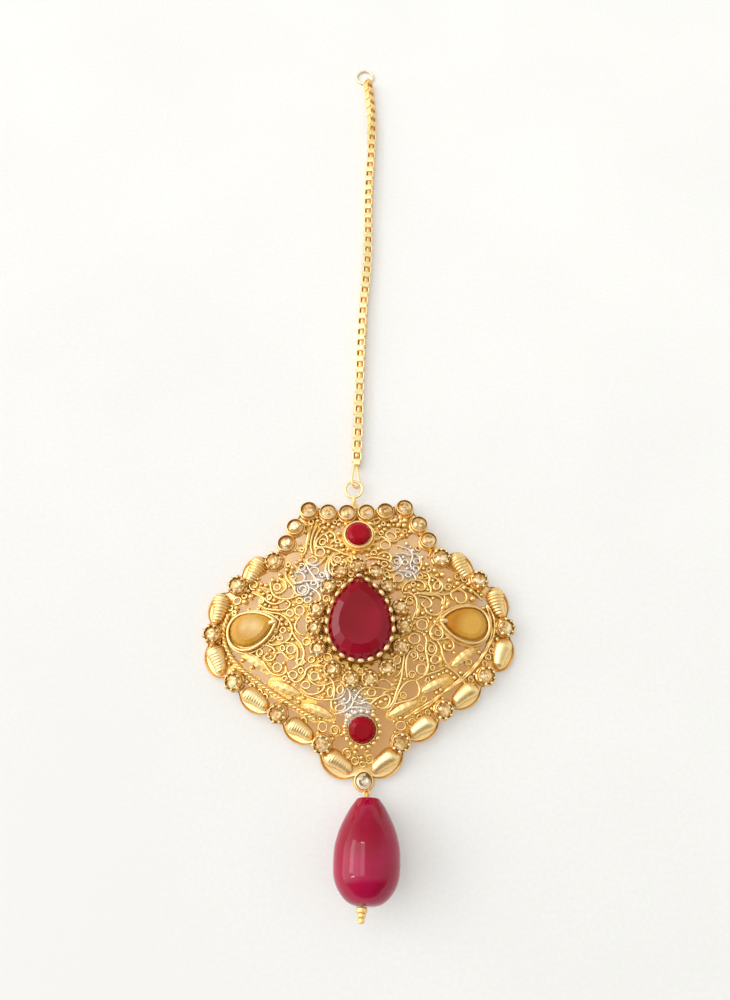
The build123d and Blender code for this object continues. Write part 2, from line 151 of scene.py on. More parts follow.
# ---- filigree ----
WIRES = (
    # right half, upper
    ((1.3, 9.6), (2.1, 9.95), (3.0, 9.9), (4.0, 9.7), (4.8, 9.5), (5.5, 9.0)),
    ((3.3, 10.4), (4.0, 10.8), (4.9, 10.7), (5.4, 10.1), (5.3, 9.4)),
    ((4.2, 8.1), (5.3, 7.7), (6.5, 8.3), (7.0, 9.2), (6.6, 10.1), (5.7, 10.2), (5.2, 9.5),
     (5.6, 8.8)),
    ((6.6, 7.7), (7.7, 7.6), (8.5, 7.4), (9.0, 6.9), (9.2, 6.3)),
    ((6.3, 10.6), (7.6, 10.6), (8.4, 10.3), (9.3, 10.5), (10.0, 9.9), (10.2, 8.9), (9.8, 8.0),
     (9.1, 7.3)),
    ((6.5, 12.0), (7.2, 11.7), (8.0, 11.5), (8.7, 10.9), (8.8, 9.9), (8.4, 8.9), (8.6, 8.0)),
    ((3.4, 13.1), (3.9, 13.5), (4.5, 13.2), (5.4, 12.7), (6.3, 12.8), (7.0, 13.3)),
    ((6.9, 4.4), (7.2, 5.3), (8.1, 6.0), (9.3, 6.2), (10.3, 5.8), (10.6, 5.0), (10.0, 4.5),
     (9.4, 4.8)),
    ((8.9, 3.9), (10.4, 4.05), (12.0, 4.0), (13.6, 3.8), (14.8, 4.2), (15.8, 4.9), (16.8, 5.6)),
    ((9.3, 4.1), (11.0, 3.8), (12.3, 3.7), (13.2, 3.1), (13.1, 2.3)),
    ((9.6, 3.6), (10.8, 3.35), (11.5, 2.6), (11.2, 1.9), (10.4, 1.8), (9.9, 2.4), (10.4, 2.8)),
    ((7.1, 4.1), (8.2, 4.0), (9.0, 3.3), (9.15, 2.3), (9.0, 1.4), (8.6, 0.5), (8.2, -0.3)),
    ((10.8, 6.4), (11.6, 6.7), (12.5, 6.4), (13.2, 5.8), (13.4, 5.0), (12.9, 4.3), (12.1, 4.1)),
    ((10.4, 7.5), (11.1, 7.2), (11.4, 6.5), (11.2, 5.6), (11.5, 4.8), (11.4, 4.1)),
    ((14.1, 3.1), (13.8, 2.2), (13.2, 1.3), (12.4, 0.7), (11.5, 0.6), (10.7, 1.0), (10.4, 1.7)),
    ((13.6, 3.7), (13.5, 2.6), (13.0, 1.6), (12.8, 0.6)),
    ((15.0, 3.0), (14.6, 3.9), (15.2, 4.6), (16.2, 4.6), (17.0, 4.0), (17.1, 3.1), (16.4, 2.5),
     (15.6, 2.7), (15.4, 3.4)),
    ((15.9, 4.7), (17.0, 5.0), (18.0, 4.6), (18.8, 3.9), (19.6, 3.0)),
    ((11.4, 10.2), (12.0, 11.3), (12.7, 11.4), (12.8, 10.6), (12.3, 9.8)),
    # right half, lower
    ((13.1, 0.4), (12.3, -0.5), (11.4, -1.3), (11.0, -2.3), (11.5, -3.2), (12.3, -3.3),
     (12.95, -2.7), (13.0, -1.9), (12.6, -1.2), (12.1, -1.0)),
    ((10.9, -0.7), (10.7, 0.0), (10.0, 0.25), (9.2, 0.1), (8.4, 0.3)),
    ((9.0, -1.9), (9.9, -2.3), (10.4, -3.3), (10.2, -4.6), (10.4, -6.0), (10.5, -7.3),
     (10.0, -8.5), (9.2, -9.0)),
    ((7.2, -8.9), (7.05, -7.4), (7.3, -5.8), (8.0, -4.9), (8.8, -5.2), (8.9, -6.0), (8.3, -6.4)),
    ((10.5, -3.4), (11.3, -3.6), (11.9, -4.4), (11.7, -5.3), (10.9, -5.6), (10.4, -5.2)),
    ((12.0, -3.3), (12.6, -4.4), (12.8, -5.6), (13.2, -6.7), (13.9, -7.4)),
    ((12.9, -3.2), (13.8, -3.0), (14.5, -3.6), (14.6, -4.4), (14.0, -4.9), (13.2, -4.7),
     (13.1, -4.0), (13.7, -3.8)),
    ((12.6, -1.3), (13.4, -2.0), (14.2, -2.9), (15.2, -3.7), (16.5, -4.0), (17.8, -3.9)),
    ((6.9, -5.1), (6.7, -6.4), (6.5, -7.6), (6.3, -8.8), (5.9, -10.0), (5.4, -11.2), (5.0, -12.3),
     (4.3, -13.2), (3.2, -13.4)),
    ((9.4, -8.8), (8.6, -9.3), (7.5, -9.4), (6.5, -10.1), (5.7, -11.3), (5.2, -12.5),
     (4.4, -13.7)),
    ((5.3, -12.7), (6.5, -12.4), (7.6, -12.2), (8.8, -11.5), (9.0, -10.4), (8.6, -9.5)),
    ((-0.9, -12.0), (-0.3, -11.0), (0.4, -10.4), (1.2, -10.2), (2.2, -10.3), (3.3, -10.4),
     (4.4, -10.7), (5.4, -10.6)),
    ((0.2, -12.3), (0.9, -11.9), (2.0, -11.9), (3.0, -11.6), (3.8, -11.0), (4.6, -10.8)),
    ((1.5, -12.7), (2.4, -12.0), (3.3, -11.5), (4.1, -11.4), (4.5, -12.0), (4.2, -12.9),
     (3.4, -13.3), (2.6, -13.1)),
    ((2.6, -9.6), (3.3, -9.1), (4.2, -9.3), (4.9, -9.9), (5.6, -9.7)),
    ((5.3, -8.8), (6.0, -8.3), (6.4, -7.5)),
    ((13.2, -7.2), (14.4, -8.0), (15.3, -8.9), (16.0, -9.8)),
    ((10.0, -8.6), (10.9, -8.3), (11.9, -8.0), (13.0, -7.5)),
    # left half, upper
    ((-7.3, 15.8), (-7.8, 14.4), (-8.2, 13.0), (-8.3, 11.5), (-8.9, 10.4)),
    ((-6.5, 15.8), (-7.1, 14.6), (-7.45, 13.3), (-7.5, 12.0), (-7.2, 10.9)),
    ((-5.6, 15.6), (-6.3, 14.6), (-6.8, 13.5), (-6.95, 12.4), (-6.7, 11.6)),
    ((-4.9, 12.2), (-5.7, 11.9), (-6.6, 12.2), (-6.5, 13.1), (-6.0, 13.7), (-5.3, 14.2),
     (-4.8, 13.6), (-4.8, 12.8)),
    ((-5.2, 13.9), (-4.8, 14.5), (-4.1, 14.5), (-3.6, 13.9), (-3.7, 13.1), (-4.3, 12.6)),
    ((-6.9, 12.1), (-5.8, 12.0), (-4.8, 11.9), (-3.5, 11.4), (-2.4, 10.8), (-1.4, 10.4)),
    ((-5.0, 10.5), (-5.6, 9.7), (-6.3, 9.0), (-7.2, 8.9), (-8.0, 9.3), (-8.2, 10.0)),
    ((-4.2, 10.6), (-4.8, 9.6), (-5.1, 8.4), (-5.0, 7.2), (-4.4, 6.4)),
    ((-3.6, 10.9), (-4.3, 9.9), (-4.6, 8.8), (-4.5, 7.8), (-3.9, 7.0)),
    ((-2.0, 10.7), (-3.0, 10.8), (-4.0, 10.2), (-4.1, 9.2), (-3.4, 8.5), (-2.4, 8.5), (-1.8, 9.1),
     (-2.2, 9.8)),
    ((-10.1, 6.0), (-8.9, 6.3), (-7.6, 6.4), (-6.2, 6.4), (-5.1, 6.4)),
    ((-8.3, 9.3), (-7.7, 8.2), (-7.1, 7.2), (-6.5, 6.4), (-6.3, 5.4), (-6.9, 4.7)),
    ((-9.9, 7.9), (-9.0, 7.8), (-8.4, 7.1), (-8.8, 6.3), (-9.7, 6.1), (-10.2, 6.6), (-9.8, 7.1)),
    ((-10.0, 5.6), (-9.9, 4.6), (-9.1, 4.1), (-8.1, 4.3), (-7.7, 5.2), (-8.1, 6.0)),
    ((-7.7, 5.3), (-7.0, 5.0), (-6.2, 4.3), (-5.9, 3.4), (-6.6, 2.8)),
    ((-11.4, 8.6), (-11.5, 7.5), (-11.0, 6.5), (-10.3, 5.6), (-10.0, 4.6), (-10.6, 3.8)),
    ((-13.9, 6.5), (-13.8, 5.3), (-13.3, 4.3), (-12.2, 3.7), (-11.0, 3.6), (-10.0, 3.9),
     (-9.2, 4.1)),
    ((-15.6, 2.9), (-14.6, 2.25), (-13.4, 2.0), (-12.2, 1.9), (-11.2, 2.1), (-10.7, 2.9),
     (-11.3, 3.5)),
    ((-12.4, 7.0), (-11.6, 6.4), (-11.4, 5.4), (-12.1, 4.7), (-13.0, 4.6)),
    ((-16.8, 4.9), (-15.8, 4.4), (-14.9, 3.9), (-14.1, 3.2), (-13.2, 2.9), (-12.1, 3.1),
     (-11.4, 3.7)),
    # left half, lower
    ((-14.9, 1.9), (-13.6, 1.55), (-12.4, 1.3), (-11.3, 0.6), (-10.6, -0.4), (-10.4, -1.6),
     (-10.9, -2.7), (-12.0, -3.3), (-13.2, -3.5), (-14.4, -3.1)),
    ((-10.4, -1.5), (-9.7, -2.6), (-8.9, -3.6), (-8.5, -4.8), (-8.7, -6.0), (-9.4, -6.8),
     (-10.2, -7.2)),
    ((-9.0, 0.9), (-9.7, 0.0), (-9.9, -1.0), (-9.2, -1.9), (-8.4, -2.2)),
    ((-17.4, -4.0), (-15.8, -3.5), (-14.4, -3.5), (-13.3, -4.0), (-12.9, -4.9),
     (-13.3, -5.7), (-14.2, -5.8), (-14.7, -5.2), (-14.2, -4.8)),
    ((-14.9, -5.9), (-14.1, -7.1), (-13.3, -7.9), (-12.2, -8.1), (-11.3, -7.7), (-11.3, -6.8)),
    ((-11.3, -3.2), (-10.3, -3.4), (-9.6, -4.1), (-9.5, -5.3), (-9.8, -6.2)),
    ((-12.9, -4.8), (-11.9, -4.7), (-11.3, -5.3), (-10.6, -5.8), (-9.9, -5.4)),
    ((-11.1, -7.6), (-10.2, -9.0), (-9.3, -9.1), (-8.5, -8.4), (-8.2, -7.5), (-7.6, -7.0),
     (-6.4, -6.8), (-5.3, -6.8)),
    ((-7.9, -8.0), (-7.5, -9.1), (-6.4, -9.75), (-5.1, -9.7), (-4.0, -9.3), (-3.0, -9.0)),
    ((-9.0, -10.2), (-7.8, -11.0), (-6.5, -10.95), (-5.6, -10.4), (-5.3, -9.7)),
    ((-8.0, -11.3), (-6.4, -11.8), (-4.8, -11.9), (-3.5, -11.8), (-2.6, -11.3), (-2.2, -10.5)),
    ((-3.9, -14.0), (-2.7, -13.75), (-1.7, -13.2), (-1.1, -12.4), (-1.2, -11.5)),
    ((-2.9, -9.2), (-2.2, -10.0), (-1.6, -10.8), (-1.5, -11.7), (-2.0, -12.4), (-2.8, -12.5)),
    ((-1.5, -10.6), (-0.9, -10.0), (-0.1, -9.9), (0.4, -10.5)),
    ((-4.7, -8.6), (-4.1, -9.3), (-3.9, -10.4), (-4.0, -11.7)),
    ((-4.4, -12.0), (-4.3, -13.1), (-3.6, -13.9)),
    ((-0.9, -12.2), (0.0, -12.6), (0.9, -12.4), (1.7, -12.8), (2.4, -13.4)),
    ((-1.6, -13.1), (-0.6, -13.1), (0.5, -13.2), (1.4, -13.4)),
)
RINGS = (
    # x,    y,    length, width, turn
    (5.5, 13.7, 2.1, 1.6, -25), (4.5, 12.1, 2.0, 1.8, 0), (6.4, 6.6, 1.9, 1.7, 0),
    (12.5, 5.3, 1.8, 1.3, 60), (9.8, -0.95, 2.0, 1.9, 0), (8.5, -3.1, 2.1, 1.9, 0),
    (9.45, -7.7, 1.9, 1.9, 0), (11.6, -6.3, 1.7, 1.5, 30), (1.7, -11.0, 1.6, 1.4, 0),
    (9.5, 9.3, 1.4, 1.2, 20), (9.3, 8.1, 1.3, 1.1, -20), (7.6, 9.1, 1.3, 1.2, 0),
    (-6.0, 11.1, 1.9, 1.8, 0), (-7.3, 9.8, 2.0, 1.4, 10), (-6.9, 8.0, 1.8, 1.5, 0),
    (-12.8, 5.6, 1.4, 1.4, 0), (-15.3, 3.5, 1.1, 1.1, 0), (-9.2, 1.7, 1.8, 1.9, 0),
    (-13.6, -2.4, 1.4, 1.3, 0), (-11.8, -1.3, 1.2, 1.2, 0), (-12.2, -2.5, 1.2, 1.0, 0),
    (-10.5, -4.3, 1.7, 1.6, 0), (-12.6, -6.9, 1.7, 1.7, 0), (-9.0, -6.2, 1.5, 1.3, 0),
    (-10.2, -8.1, 1.7, 1.5, 0), (-6.9, -8.4, 1.7, 1.6, 0), (-4.5, -10.8, 1.7, 1.2, 90),
    (-3.0, -10.5, 1.6, 1.3, 80), (-3.0, -13.1, 1.9, 1.3, 15), (-3.1, 12.9, 1.2, 1.0, 0),
    (-7.0, 6.0, 1.2, 1.0, 0), (-7.9, 3.3, 1.5, 1.2, 20), (8.0, 7.0, 1.2, 1.0, 0),
)
BLADES = (
    # short thick leaves of wire: the two ends
    ((9.5, 2.1), (9.0, 0.3)), ((14.3, 3.0), (13.8, 1.7)), ((13.5, 2.2), (12.9, 1.2)),
    ((-7.6, 15.5), (-8.3, 12.0)), ((-4.9, 7.9), (-4.6, 6.3)), ((-6.9, 6.4), (-5.2, 6.4)),
    ((-4.4, -8.2), (-3.0, -8.4)), ((-7.0, -6.8), (-5.1, -7.0)), ((12.4, -5.6), (12.4, -7.0)),
    ((1.5, 16.1), (3.0, 15.5)), ((-12.5, -1.3), (-13.8, -1.0)), ((7.2, -1.5), (6.5, -3.0)),
)
GRAINS = (
    # x,   y,    radius
    (3.7, 15.3, 0.42), (4.5, 14.8, 0.36), (5.2, 15.5, 0.42), (7.3, 13.7, 0.46), (8.0, 12.3, 0.42),
    (9.6, 14.4, 0.3), (10.2, 14.0, 0.3), (10.4, 13.4, 0.3), (10.3, 12.8, 0.3), (10.4, 12.1, 0.34),
    (8.9, 11.1, 0.42), (11.1, 8.8, 0.44), (12.3, 7.8, 0.44), (13.5, 7.1, 0.5), (14.6, 6.2, 0.5),
    (2.5, 12.2, 0.38), (1.8, 11.4, 0.42), (0.7, 11.1, 0.42), (1.6, 10.4, 0.32), (3.0, 13.1, 0.36),
    (3.4, 11.5, 0.42), (6.3, 16.5, 0.5), (7.1, 16.9, 0.46), (7.9, 16.4, 0.5), (7.7, 15.5, 0.48),
    (6.8, 15.6, 0.48), (7.2, 16.2, 0.42), (8.7, 15.3, 0.4), (5.7, 16.3, 0.36), (8.6, 14.4, 0.36),
    (3.0, 14.3, 0.36), (15.8, 5.7, 0.42), (16.9, 5.0, 0.44), (18.1, 3.2, 0.5), (18.0, 4.5, 0.4),
    (10.4, 10.0, 0.36), (11.9, -0.5, 0.44), (13.05, 0.1, 0.5), (8.1, 5.0, 0.34), (9.6, 5.3, 0.34),
    (10.1, -2.5, 0.34), (10.35, -3.9, 0.3), (10.3, -5.1, 0.32), (10.45, -6.6, 0.3),
    (11.2, -2.4, 0.42),
    (12.7, -5.2, 0.3), (13.0, -6.3, 0.3), (7.9, 1.0, 0.34), (0.8, -11.2, 0.34), (3.1, -12.4, 0.4),
    (4.9, -9.9, 0.32), (2.6, -9.6, 0.34),
    (-9.8, 9.5, 0.38), (-8.9, 10.8, 0.38), (-2.5, 12.2, 0.44), (-1.4, 11.5, 0.4),
    (-0.5, 10.9, 0.4),
    (-1.8, 15.9, 0.38), (-3.9, 15.4, 0.42), (-5.2, 15.3, 0.4), (-4.5, 4.7, 0.34),
    (-2.9, 15.8, 0.4),
    (-10.4, 8.7, 0.4), (-11.4, 8.4, 0.42), (-12.4, 7.6, 0.42), (-13.5, 6.8, 0.44),
    (-14.6, 6.0, 0.42),
    (-15.6, 5.2, 0.42), (-17.0, 4.3, 0.5), (-18.0, 3.5, 0.5), (-19.3, 2.6, 0.42),
    (-15.3, 3.5, 0.3),
    (-14.2, 4.9, 0.36), (-10.3, 7.2, 0.32), (-12.0, -0.4, 0.36), (-13.0, -1.5, 0.46),
    (-12.7, -2.3, 0.34),
    (-8.0, 13.4, 0.26), (-7.95, 12.6, 0.26), (-7.9, 14.1, 0.24), (-14.2, -4.8, 0.34),
    (-13.1, -4.7, 0.36),
    (-8.7, -4.1, 0.3), (-8.6, -5.4, 0.3), (-9.6, -6.9, 0.32), (-8.3, -6.2, 0.3),
    (-6.0, -8.8, 0.4),
    (-5.7, -11.6, 0.34), (-11.6, -6.3, 0.34), (-2.0, -9.0, 0.36), (-2.3, -7.6, 0.3),
    (-1.0, -9.9, 0.3),
    (-7.1, -2.6, 0.34), (-6.9, 0.4, 0.34), (-7.7, 1.1, 0.34), (-2.9, 14.2, 0.4),
    (-3.3, 12.1, 0.32),
    (-2.3, 9.3, 0.36), (-5.4, 16.3, 0.36), (-6.4, 16.6, 0.36), (-8.4, 16.0, 0.36),
    (0.2, 9.9, 0.32),
    (-10.0, 11.6, 0.3), (-9.3, 12.6, 0.3), (0.9, -19.4, 0.4), (-0.9, -19.5, 0.4),
    (0.0, -20.3, 0.36),
)

OPENINGS = (
    # where the cloth shows through: x, y, radius
    (9.2, 13.0, 1.0), (7.6, 11.6, 0.7), (10.9, 10.6, 0.8), (11.9, 9.2, 0.5), (14.6, 7.6, 0.8),
    (13.4, 8.4, 0.6), (-10.6, 10.6, 0.9), (-10.2, 12.4, 0.9), (-9.4, 14.0, 0.7),
    (-13.6, 8.2, 0.9),
    (-14.8, 7.3, 0.8), (-12.4, 9.2, 0.8), (-16.6, 3.1, 0.7), (-12.0, 2.7, 0.5), (14.9, 1.9, 0.6),
    (12.2, 2.1, 0.8), (-17.6, -6.6, 0.6), (-16.1, -7.6, 0.6), (-13.6, -9.2, 0.6),
    (-9.6, -11.2, 0.5),
    (19.3, -4.2, 0.6), (17.9, -5.9, 0.6), (15.9, -7.4, 0.5), (7.6, -10.8, 0.7), (8.0, -7.0, 0.5),
    (-11.5, -1.9, 0.4), (-20.2, -4.0, 0.5), (-18.4, -9.3, 0.7), (-13.9, -12.2, 0.6),
)

GRID_HALF = 26           # of the square in which the openwork is planned
GRID_STEP = 0.125
SHEET_TOP = 0.45         # height of the thin sheet behind the wires
SHEET_BACK = 0.2
GRAIN_HEIGHT = 1.0
WIRE_TALL = 1.35         # how much higher a wire is than wide
CUP_MARGIN = 0.25        # how far the filling stays off a small stone
ROUND_MARGIN = 0.75      # and off a round one
FILL_SEED = 7
SMALLEST_GAP = 0.27      # gaps with less room stay empty
SMALLEST_CURL = 0.5      # gaps with less room take a grain
LARGEST_CURL = 0.88
LEFT_OPEN = (0.25, 0.3)  # the part of the gaps that stays a window: of the small, of the large
LAST_RING = 0.62         # up to this draw a large gap takes a ring, and from here on a curl

# ---- loops, links and chain ----
BAIL = dict(x=-0.4, y=22.45, z=1.25, radius=1.42)
NECK_LENGTH = 2.3
NECK_PROFILE = (
    # radius, along
    (0, 0), (0.95, 0.02), (0.98, 0.2), (0.72, 0.55), (0.42, 1.2), (0.3, 1.9), (0.34, 2.3),
    (0, 2.45),
)
LINK = dict(x=-0.1, y=25.0, z=1.25, roll=48.0)
LINK_OUTLINE = ((0.3, 1.75), (0.55, 0.8), (0.85, -0.6), (0.9, -1.5), (0.5, -2.08))
LINK_TOP, LINK_BOTTOM = (0.0, 2.16), (0.0, -2.17)
CHAIN_RADIUS = 0.8
CORE_RADIUS = 0.5
LINK_LOOP = 1.58         # across a link's loop
LINK_STRIP = 1.2         # the width of the flat strip that it is bent from
LINK_THICK = 0.24
LINK_CORNER = 0.34
LINK_EXTRA = (0.25, 0.95)    # how much longer than the pitch the flat and the upright links are
SWAY = 12.0              # degrees that the chain turns to and fro along its length
LAST_TURN = 38.0         # degrees that it turns before its ring
LAST_LINKS = (62, 8)     # the link where that turn starts, and over how many it goes
CHAIN_ROUTE = (
    # x,     y
    (0.15, 27.6), (0.85, 41.0), (1.8, 56.0), (2.95, 69.0),
    (3.5, 82.5), (4.42, 96.0), (4.45, 104.0), (4.0, 110.9),
)

# ---- drop ----
DROP_CUP = dict(x=0.24, y=-23.6, foot=0.15, rim=2.0, wall=0.28)
EYE_RADIUS = 0.42
EYE_WIRE = 0.18
EYE_HEIGHT = 1.25
EYE_REACH = 1.67
BEAD_TOP = (0.67, -26.1, 3.05)      # where the pin goes into it
BEAD_LEAN = 13.5
BEAD_YAW = 4.3
BEAD_ASIDE = 0.2         # it is drilled off its own axis, and a little askew
BEAD_SKEW = 1.3
BEAD_PROFILE = (
    # along, radius
    (0.0, 1.68), (1.1, 2.5), (2.5, 3.28), (3.9, 3.95), (5.2, 4.37), (6.5, 4.64), (7.9, 4.72),
    (9.2, 4.7), (10.4, 4.56), (11.7, 4.06), (12.9, 3.14), (13.55, 2.25), (13.85, 1.35),
)
BEAD_HOLE = 0.3

# ---- the way the faces look that get no painted shade; steeper ones are painted a darker, shaded gold ----
UNSHADED_SIDE = (0.004, -0.164, 0.986)

# ---- where the gilding has worn down to the white metal: x, y, reach ----
WORN_PATCHES = ((-7.4, 6.6, 2.9), (8.1, 9.4, 2.7), (-0.7, -13.2, 2.8))


def tone(red, green, blue):
    """A display colour of 0 to 255 as linear values with full alpha."""
    parts = []
    for value in (red, green, blue):
        value /= 255
        parts.append(value / 12.92 if value <= 0.04045 else ((value + 0.055) / 1.055)**2.4)
    return (*parts, 1.0)


# ================================================================ sizes and colours to set

def length(label, about, default):
    """A length in millimetres, kept as a Blender length."""
    return FloatProperty(name=label, description=about, default=default * MM, min=0.0,
                         unit="LENGTH")


def colour(label, about, default):
    """A colour that the user can pick."""
    return FloatVectorProperty(name=label, description=about, default=tone(*default), size=4,
                               min=0.0, max=1.0, subtype="COLOR")


def share(label, about, default):
    """A value between nothing and one."""
    return FloatProperty(name=label, description=about, default=default, min=0.0, max=1.0,
                         subtype="FACTOR")


class MetalSettings(bpy.types.PropertyGroup):
    """The gilding and how it has worn."""
    gold: colour("Gold", "Gilding on the high places", (255, 223, 148))
    # Deep gold stands partly for deeper gilding and partly for painted shade low in the openwork.
    deep_gold: colour("Deep gold", "Gilding low in the openwork", (240, 199, 98))
    worn: colour("Worn metal", "White metal where the gilding has rubbed off", (232, 225, 214))
    roughness: share("Roughness", "How soft the gilding's shine is", 0.36)


class WireSettings(bpy.types.PropertyGroup):
    """The sizes of wires, grains and links."""
    wire: length("Filigree wire", "Half the width of the filigree wire", 0.185)
    wire_height: length("Filigree height", "How far the filigree stands over the back", 1.2)
    filling: length("Filling wire", "Half the width of the finer wire that fills the gaps", 0.155)
    rope: length("Rope wire", "Radius of each strand of the twisted wire", 0.21)
    rope_pitch: length("Rope pitch", "Length of one turn of the twisted wire", 1.4)
    claw: length("Claw", "Radius of the claws of a cup", 0.18)
    prong: length("Prong", "Half the length of the beads round the middle stone", 0.52)
    loop_wire: length("Loop wire", "Radius of the wire of the loops and links", 0.23)
    link_pitch: length("Link pitch", "Distance from one chain link to the next", 1.1)


class StoneSettings(bpy.types.PropertyGroup):
    """The colours of the stones and the drop."""
    red: colour("Red", "Middle, top and bottom stones", (142, 6, 34))
    amber: colour("Amber", "Side stones", (206, 158, 62))
    champagne: colour("Champagne", "Small stones", (228, 188, 112))
    drop: colour("Drop", "Drop bead", (168, 2, 66))


class StageSettings(bpy.types.PropertyGroup):
    """Floor, light and camera."""
    floor: colour("Floor", "Colour of the cloth that it lies on", (246, 248, 244))
    # Glow and far glow: painted warm bounce light and shade on the cloth under the openwork.
    glow: colour("Glow", "Colour of the cloth under the openwork, upper left", (252, 224, 178))
    far_glow: colour("Far glow", "The same at the lower right", (222, 180, 122))
    key_power: FloatProperty(name="Key power", description="Power of the soft light on the left",
                             default=1.2, min=0.0, unit="POWER")
    sky: FloatProperty(name="Sky", description="Strength of the light from all round",
                       default=1.08, min=0.0)
    lens: FloatProperty(name="Lens", description="Focal length", default=27.72, min=1.0,
                        unit="CAMERA")


# ================================================================ places

def centre_of(node):
    """The middle of a node's box, in millimetres in the frame."""
    low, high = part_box(node)
    return np.array((low + high) / 2) / MM


PLATE_MIDDLE = centre_of("centre_stone") * (1, 1, 0) - (STONE_EAST, 0, 0)


def plan_of(node):
    """Where a node's middle lies on the plate, from above."""
    return (centre_of(node) - PLATE_MIDDLE)[:2]


def unit(vectors):
    """The same directions, one long."""
    return vectors / np.linalg.norm(vectors, axis=-1, keepdims=True)


def lift(flat, height):
    """Points of the plan, set at a height over the dome's back."""
    flat = np.asarray(flat, float).reshape(-1, 2)
    reach = DOME_RADIUS + np.broadcast_to(height, len(flat))
    return np.column_stack([flat, np.sqrt(reach**2 - (flat**2).sum(1)) - DOME_DROP])


def seat(x, y, height=0.0, turn=0.0):
    """A place level with the dome: its axes as columns, X turned from +X, and its origin."""
    origin = lift((x, y), height)[0]
    normal = unit(origin + (0, 0, DOME_DROP))
    turn = math.radians(turn)
    heading = np.array((math.cos(turn), math.sin(turn), 0.0))
    heading = unit(heading - normal * heading.dot(normal))
    return np.column_stack([heading, np.cross(normal, heading), normal]), origin


def put(points, place):
    """Points of a local shape, moved to a place."""
    axes, origin = place
    return np.asarray(points, float) @ axes.T + origin


def rim_place(node):
    """The place of the rim of a small stone's cup, from where the stone is."""
    x, y = plan_of(node) * (1 + CUP_RISE / DOME_RADIUS)
    return seat(x, y, CUP_HEIGHT)


def both_sides(table):
    """Each row, and its mirror image on the left; x is the first column."""
    return [(side * row[0], *row[1:]) for row in table for side in (1, -1)]


def mirrored_turn(x, turn):
    """A direction given on the right half, as it is on the side of x."""
    return turn if x > 0 else 180.0 - turn


# ================================================================ mesh parts

def through(points, spacing=0.22, closed=False):
    """A smooth line through the points, with steps no longer than the spacing."""
    p = np.asarray(points, float)
    if closed:
        p = np.vstack([p[-1:], p, p[:2]])
    else:
        p = np.vstack([2 * p[:1] - p[1:2], p, 2 * p[-1:] - p[-2:-1]])
    line = []
    for a, b, c, d in zip(p, p[1:], p[2:], p[3:]):
        count = max(2, math.ceil(np.linalg.norm(c - b) / spacing))
        t = (np.arange(count) / count)[:, None]
        line.append(0.5 * (2 * b + (c - a) * t + (2 * a - 5 * b + 4 * c - d) * t**2
                           + (3 * b - a - 3 * c + d) * t**3))
    if not closed:
        line.append(p[-2:-1])
    return np.vstack(line)


def even(path, spacing):
    """The same path in equal steps."""
    run = np.concatenate([[0.0], np.cumsum(np.linalg.norm(np.diff(path, axis=0), axis=1))])
    stops = np.linspace(0, run[-1], max(2, round(run[-1] / spacing) + 1))
    return np.column_stack([np.interp(stops, run, path[:, k]) for k in range(path.shape[1])])


def skin(rows, closed=False, tips=(None, None)):
    """A surface through rings of points, closed at an end where a tip is given."""
    rows = np.asarray(rows, float)
    count, sides = rows.shape[:2]
    points = rows.reshape(-1, 3)
    faces = []
    for i in range(count if closed else count - 1):
        a, b = i * sides, (i + 1) % count * sides
        faces += [(a + j, a + (j + 1) % sides, b + (j + 1) % sides, b + j) for j in range(sides)]
    for tip, row in zip(tips, (0, count - 1)):
        if tip is not None:
            start = row * sides
            faces += [(len(points), start + j, start + (j + 1) % sides) for j in range(sides)]
            points = np.vstack([points, tip])
    return points, faces


def tube(path, radius, sides=8, tall=1.0, up=(0, 0, 1), closed=False):
    """A wire along a path, with rounded ends; tall stretches its section along up."""
    path = np.asarray(path, float)
    radius = np.broadcast_to(radius, len(path)).astype(float)
    tips = (None, None)
    if closed:
        ahead = unit(np.roll(path, -1, 0) - np.roll(path, 1, 0))
    else:
        ahead = unit(np.gradient(path, axis=0))
        out = (-ahead[0] * radius[0], ahead[-1] * radius[-1])
        tips = (path[0] + out[0], path[-1] + out[1])
        path = np.vstack([path[0] + 0.7 * out[0], path, path[-1] + 0.7 * out[1]])
        ahead = np.vstack([ahead[:1], ahead, ahead[-1:]])
        radius = np.concatenate([0.7 * radius[:1], radius, 0.7 * radius[-1:]])
    side = unit(np.cross(ahead, up))
    top = np.cross(side, ahead)
    angle = TURN * np.arange(sides)[:, None] / sides
    ring = np.cos(angle) * side[:, None] + tall * np.sin(angle) * top[:, None]
    return skin(path[:, None] + radius[:, None, None] * ring, closed, tips)


def circle(radius, count):
    """A circle of points in the XY plane."""
    angle = TURN * np.arange(count) / count
    return np.column_stack([radius * np.cos(angle), radius * np.sin(angle), np.zeros(count)])


def turned(profile, sides):
    """A profile of radius and height turned about Z; its ends on the axis become tips."""
    (_, low), *middle, (_, high) = profile
    rows = [circle(radius, sides) + (0, 0, height) for radius, height in middle]
    return skin(rows, tips=((0, 0, low), (0, 0, high)))


def grain(size, sides=10, rows=5):
    """A ball of three half axes about its own origin."""
    latitude = np.linspace(-math.pi / 2, math.pi / 2, rows + 2)
    points, faces = turned([(abs(round(math.cos(a), 9)), math.sin(a)) for a in latitude], sides)
    return points * np.asarray(size), faces


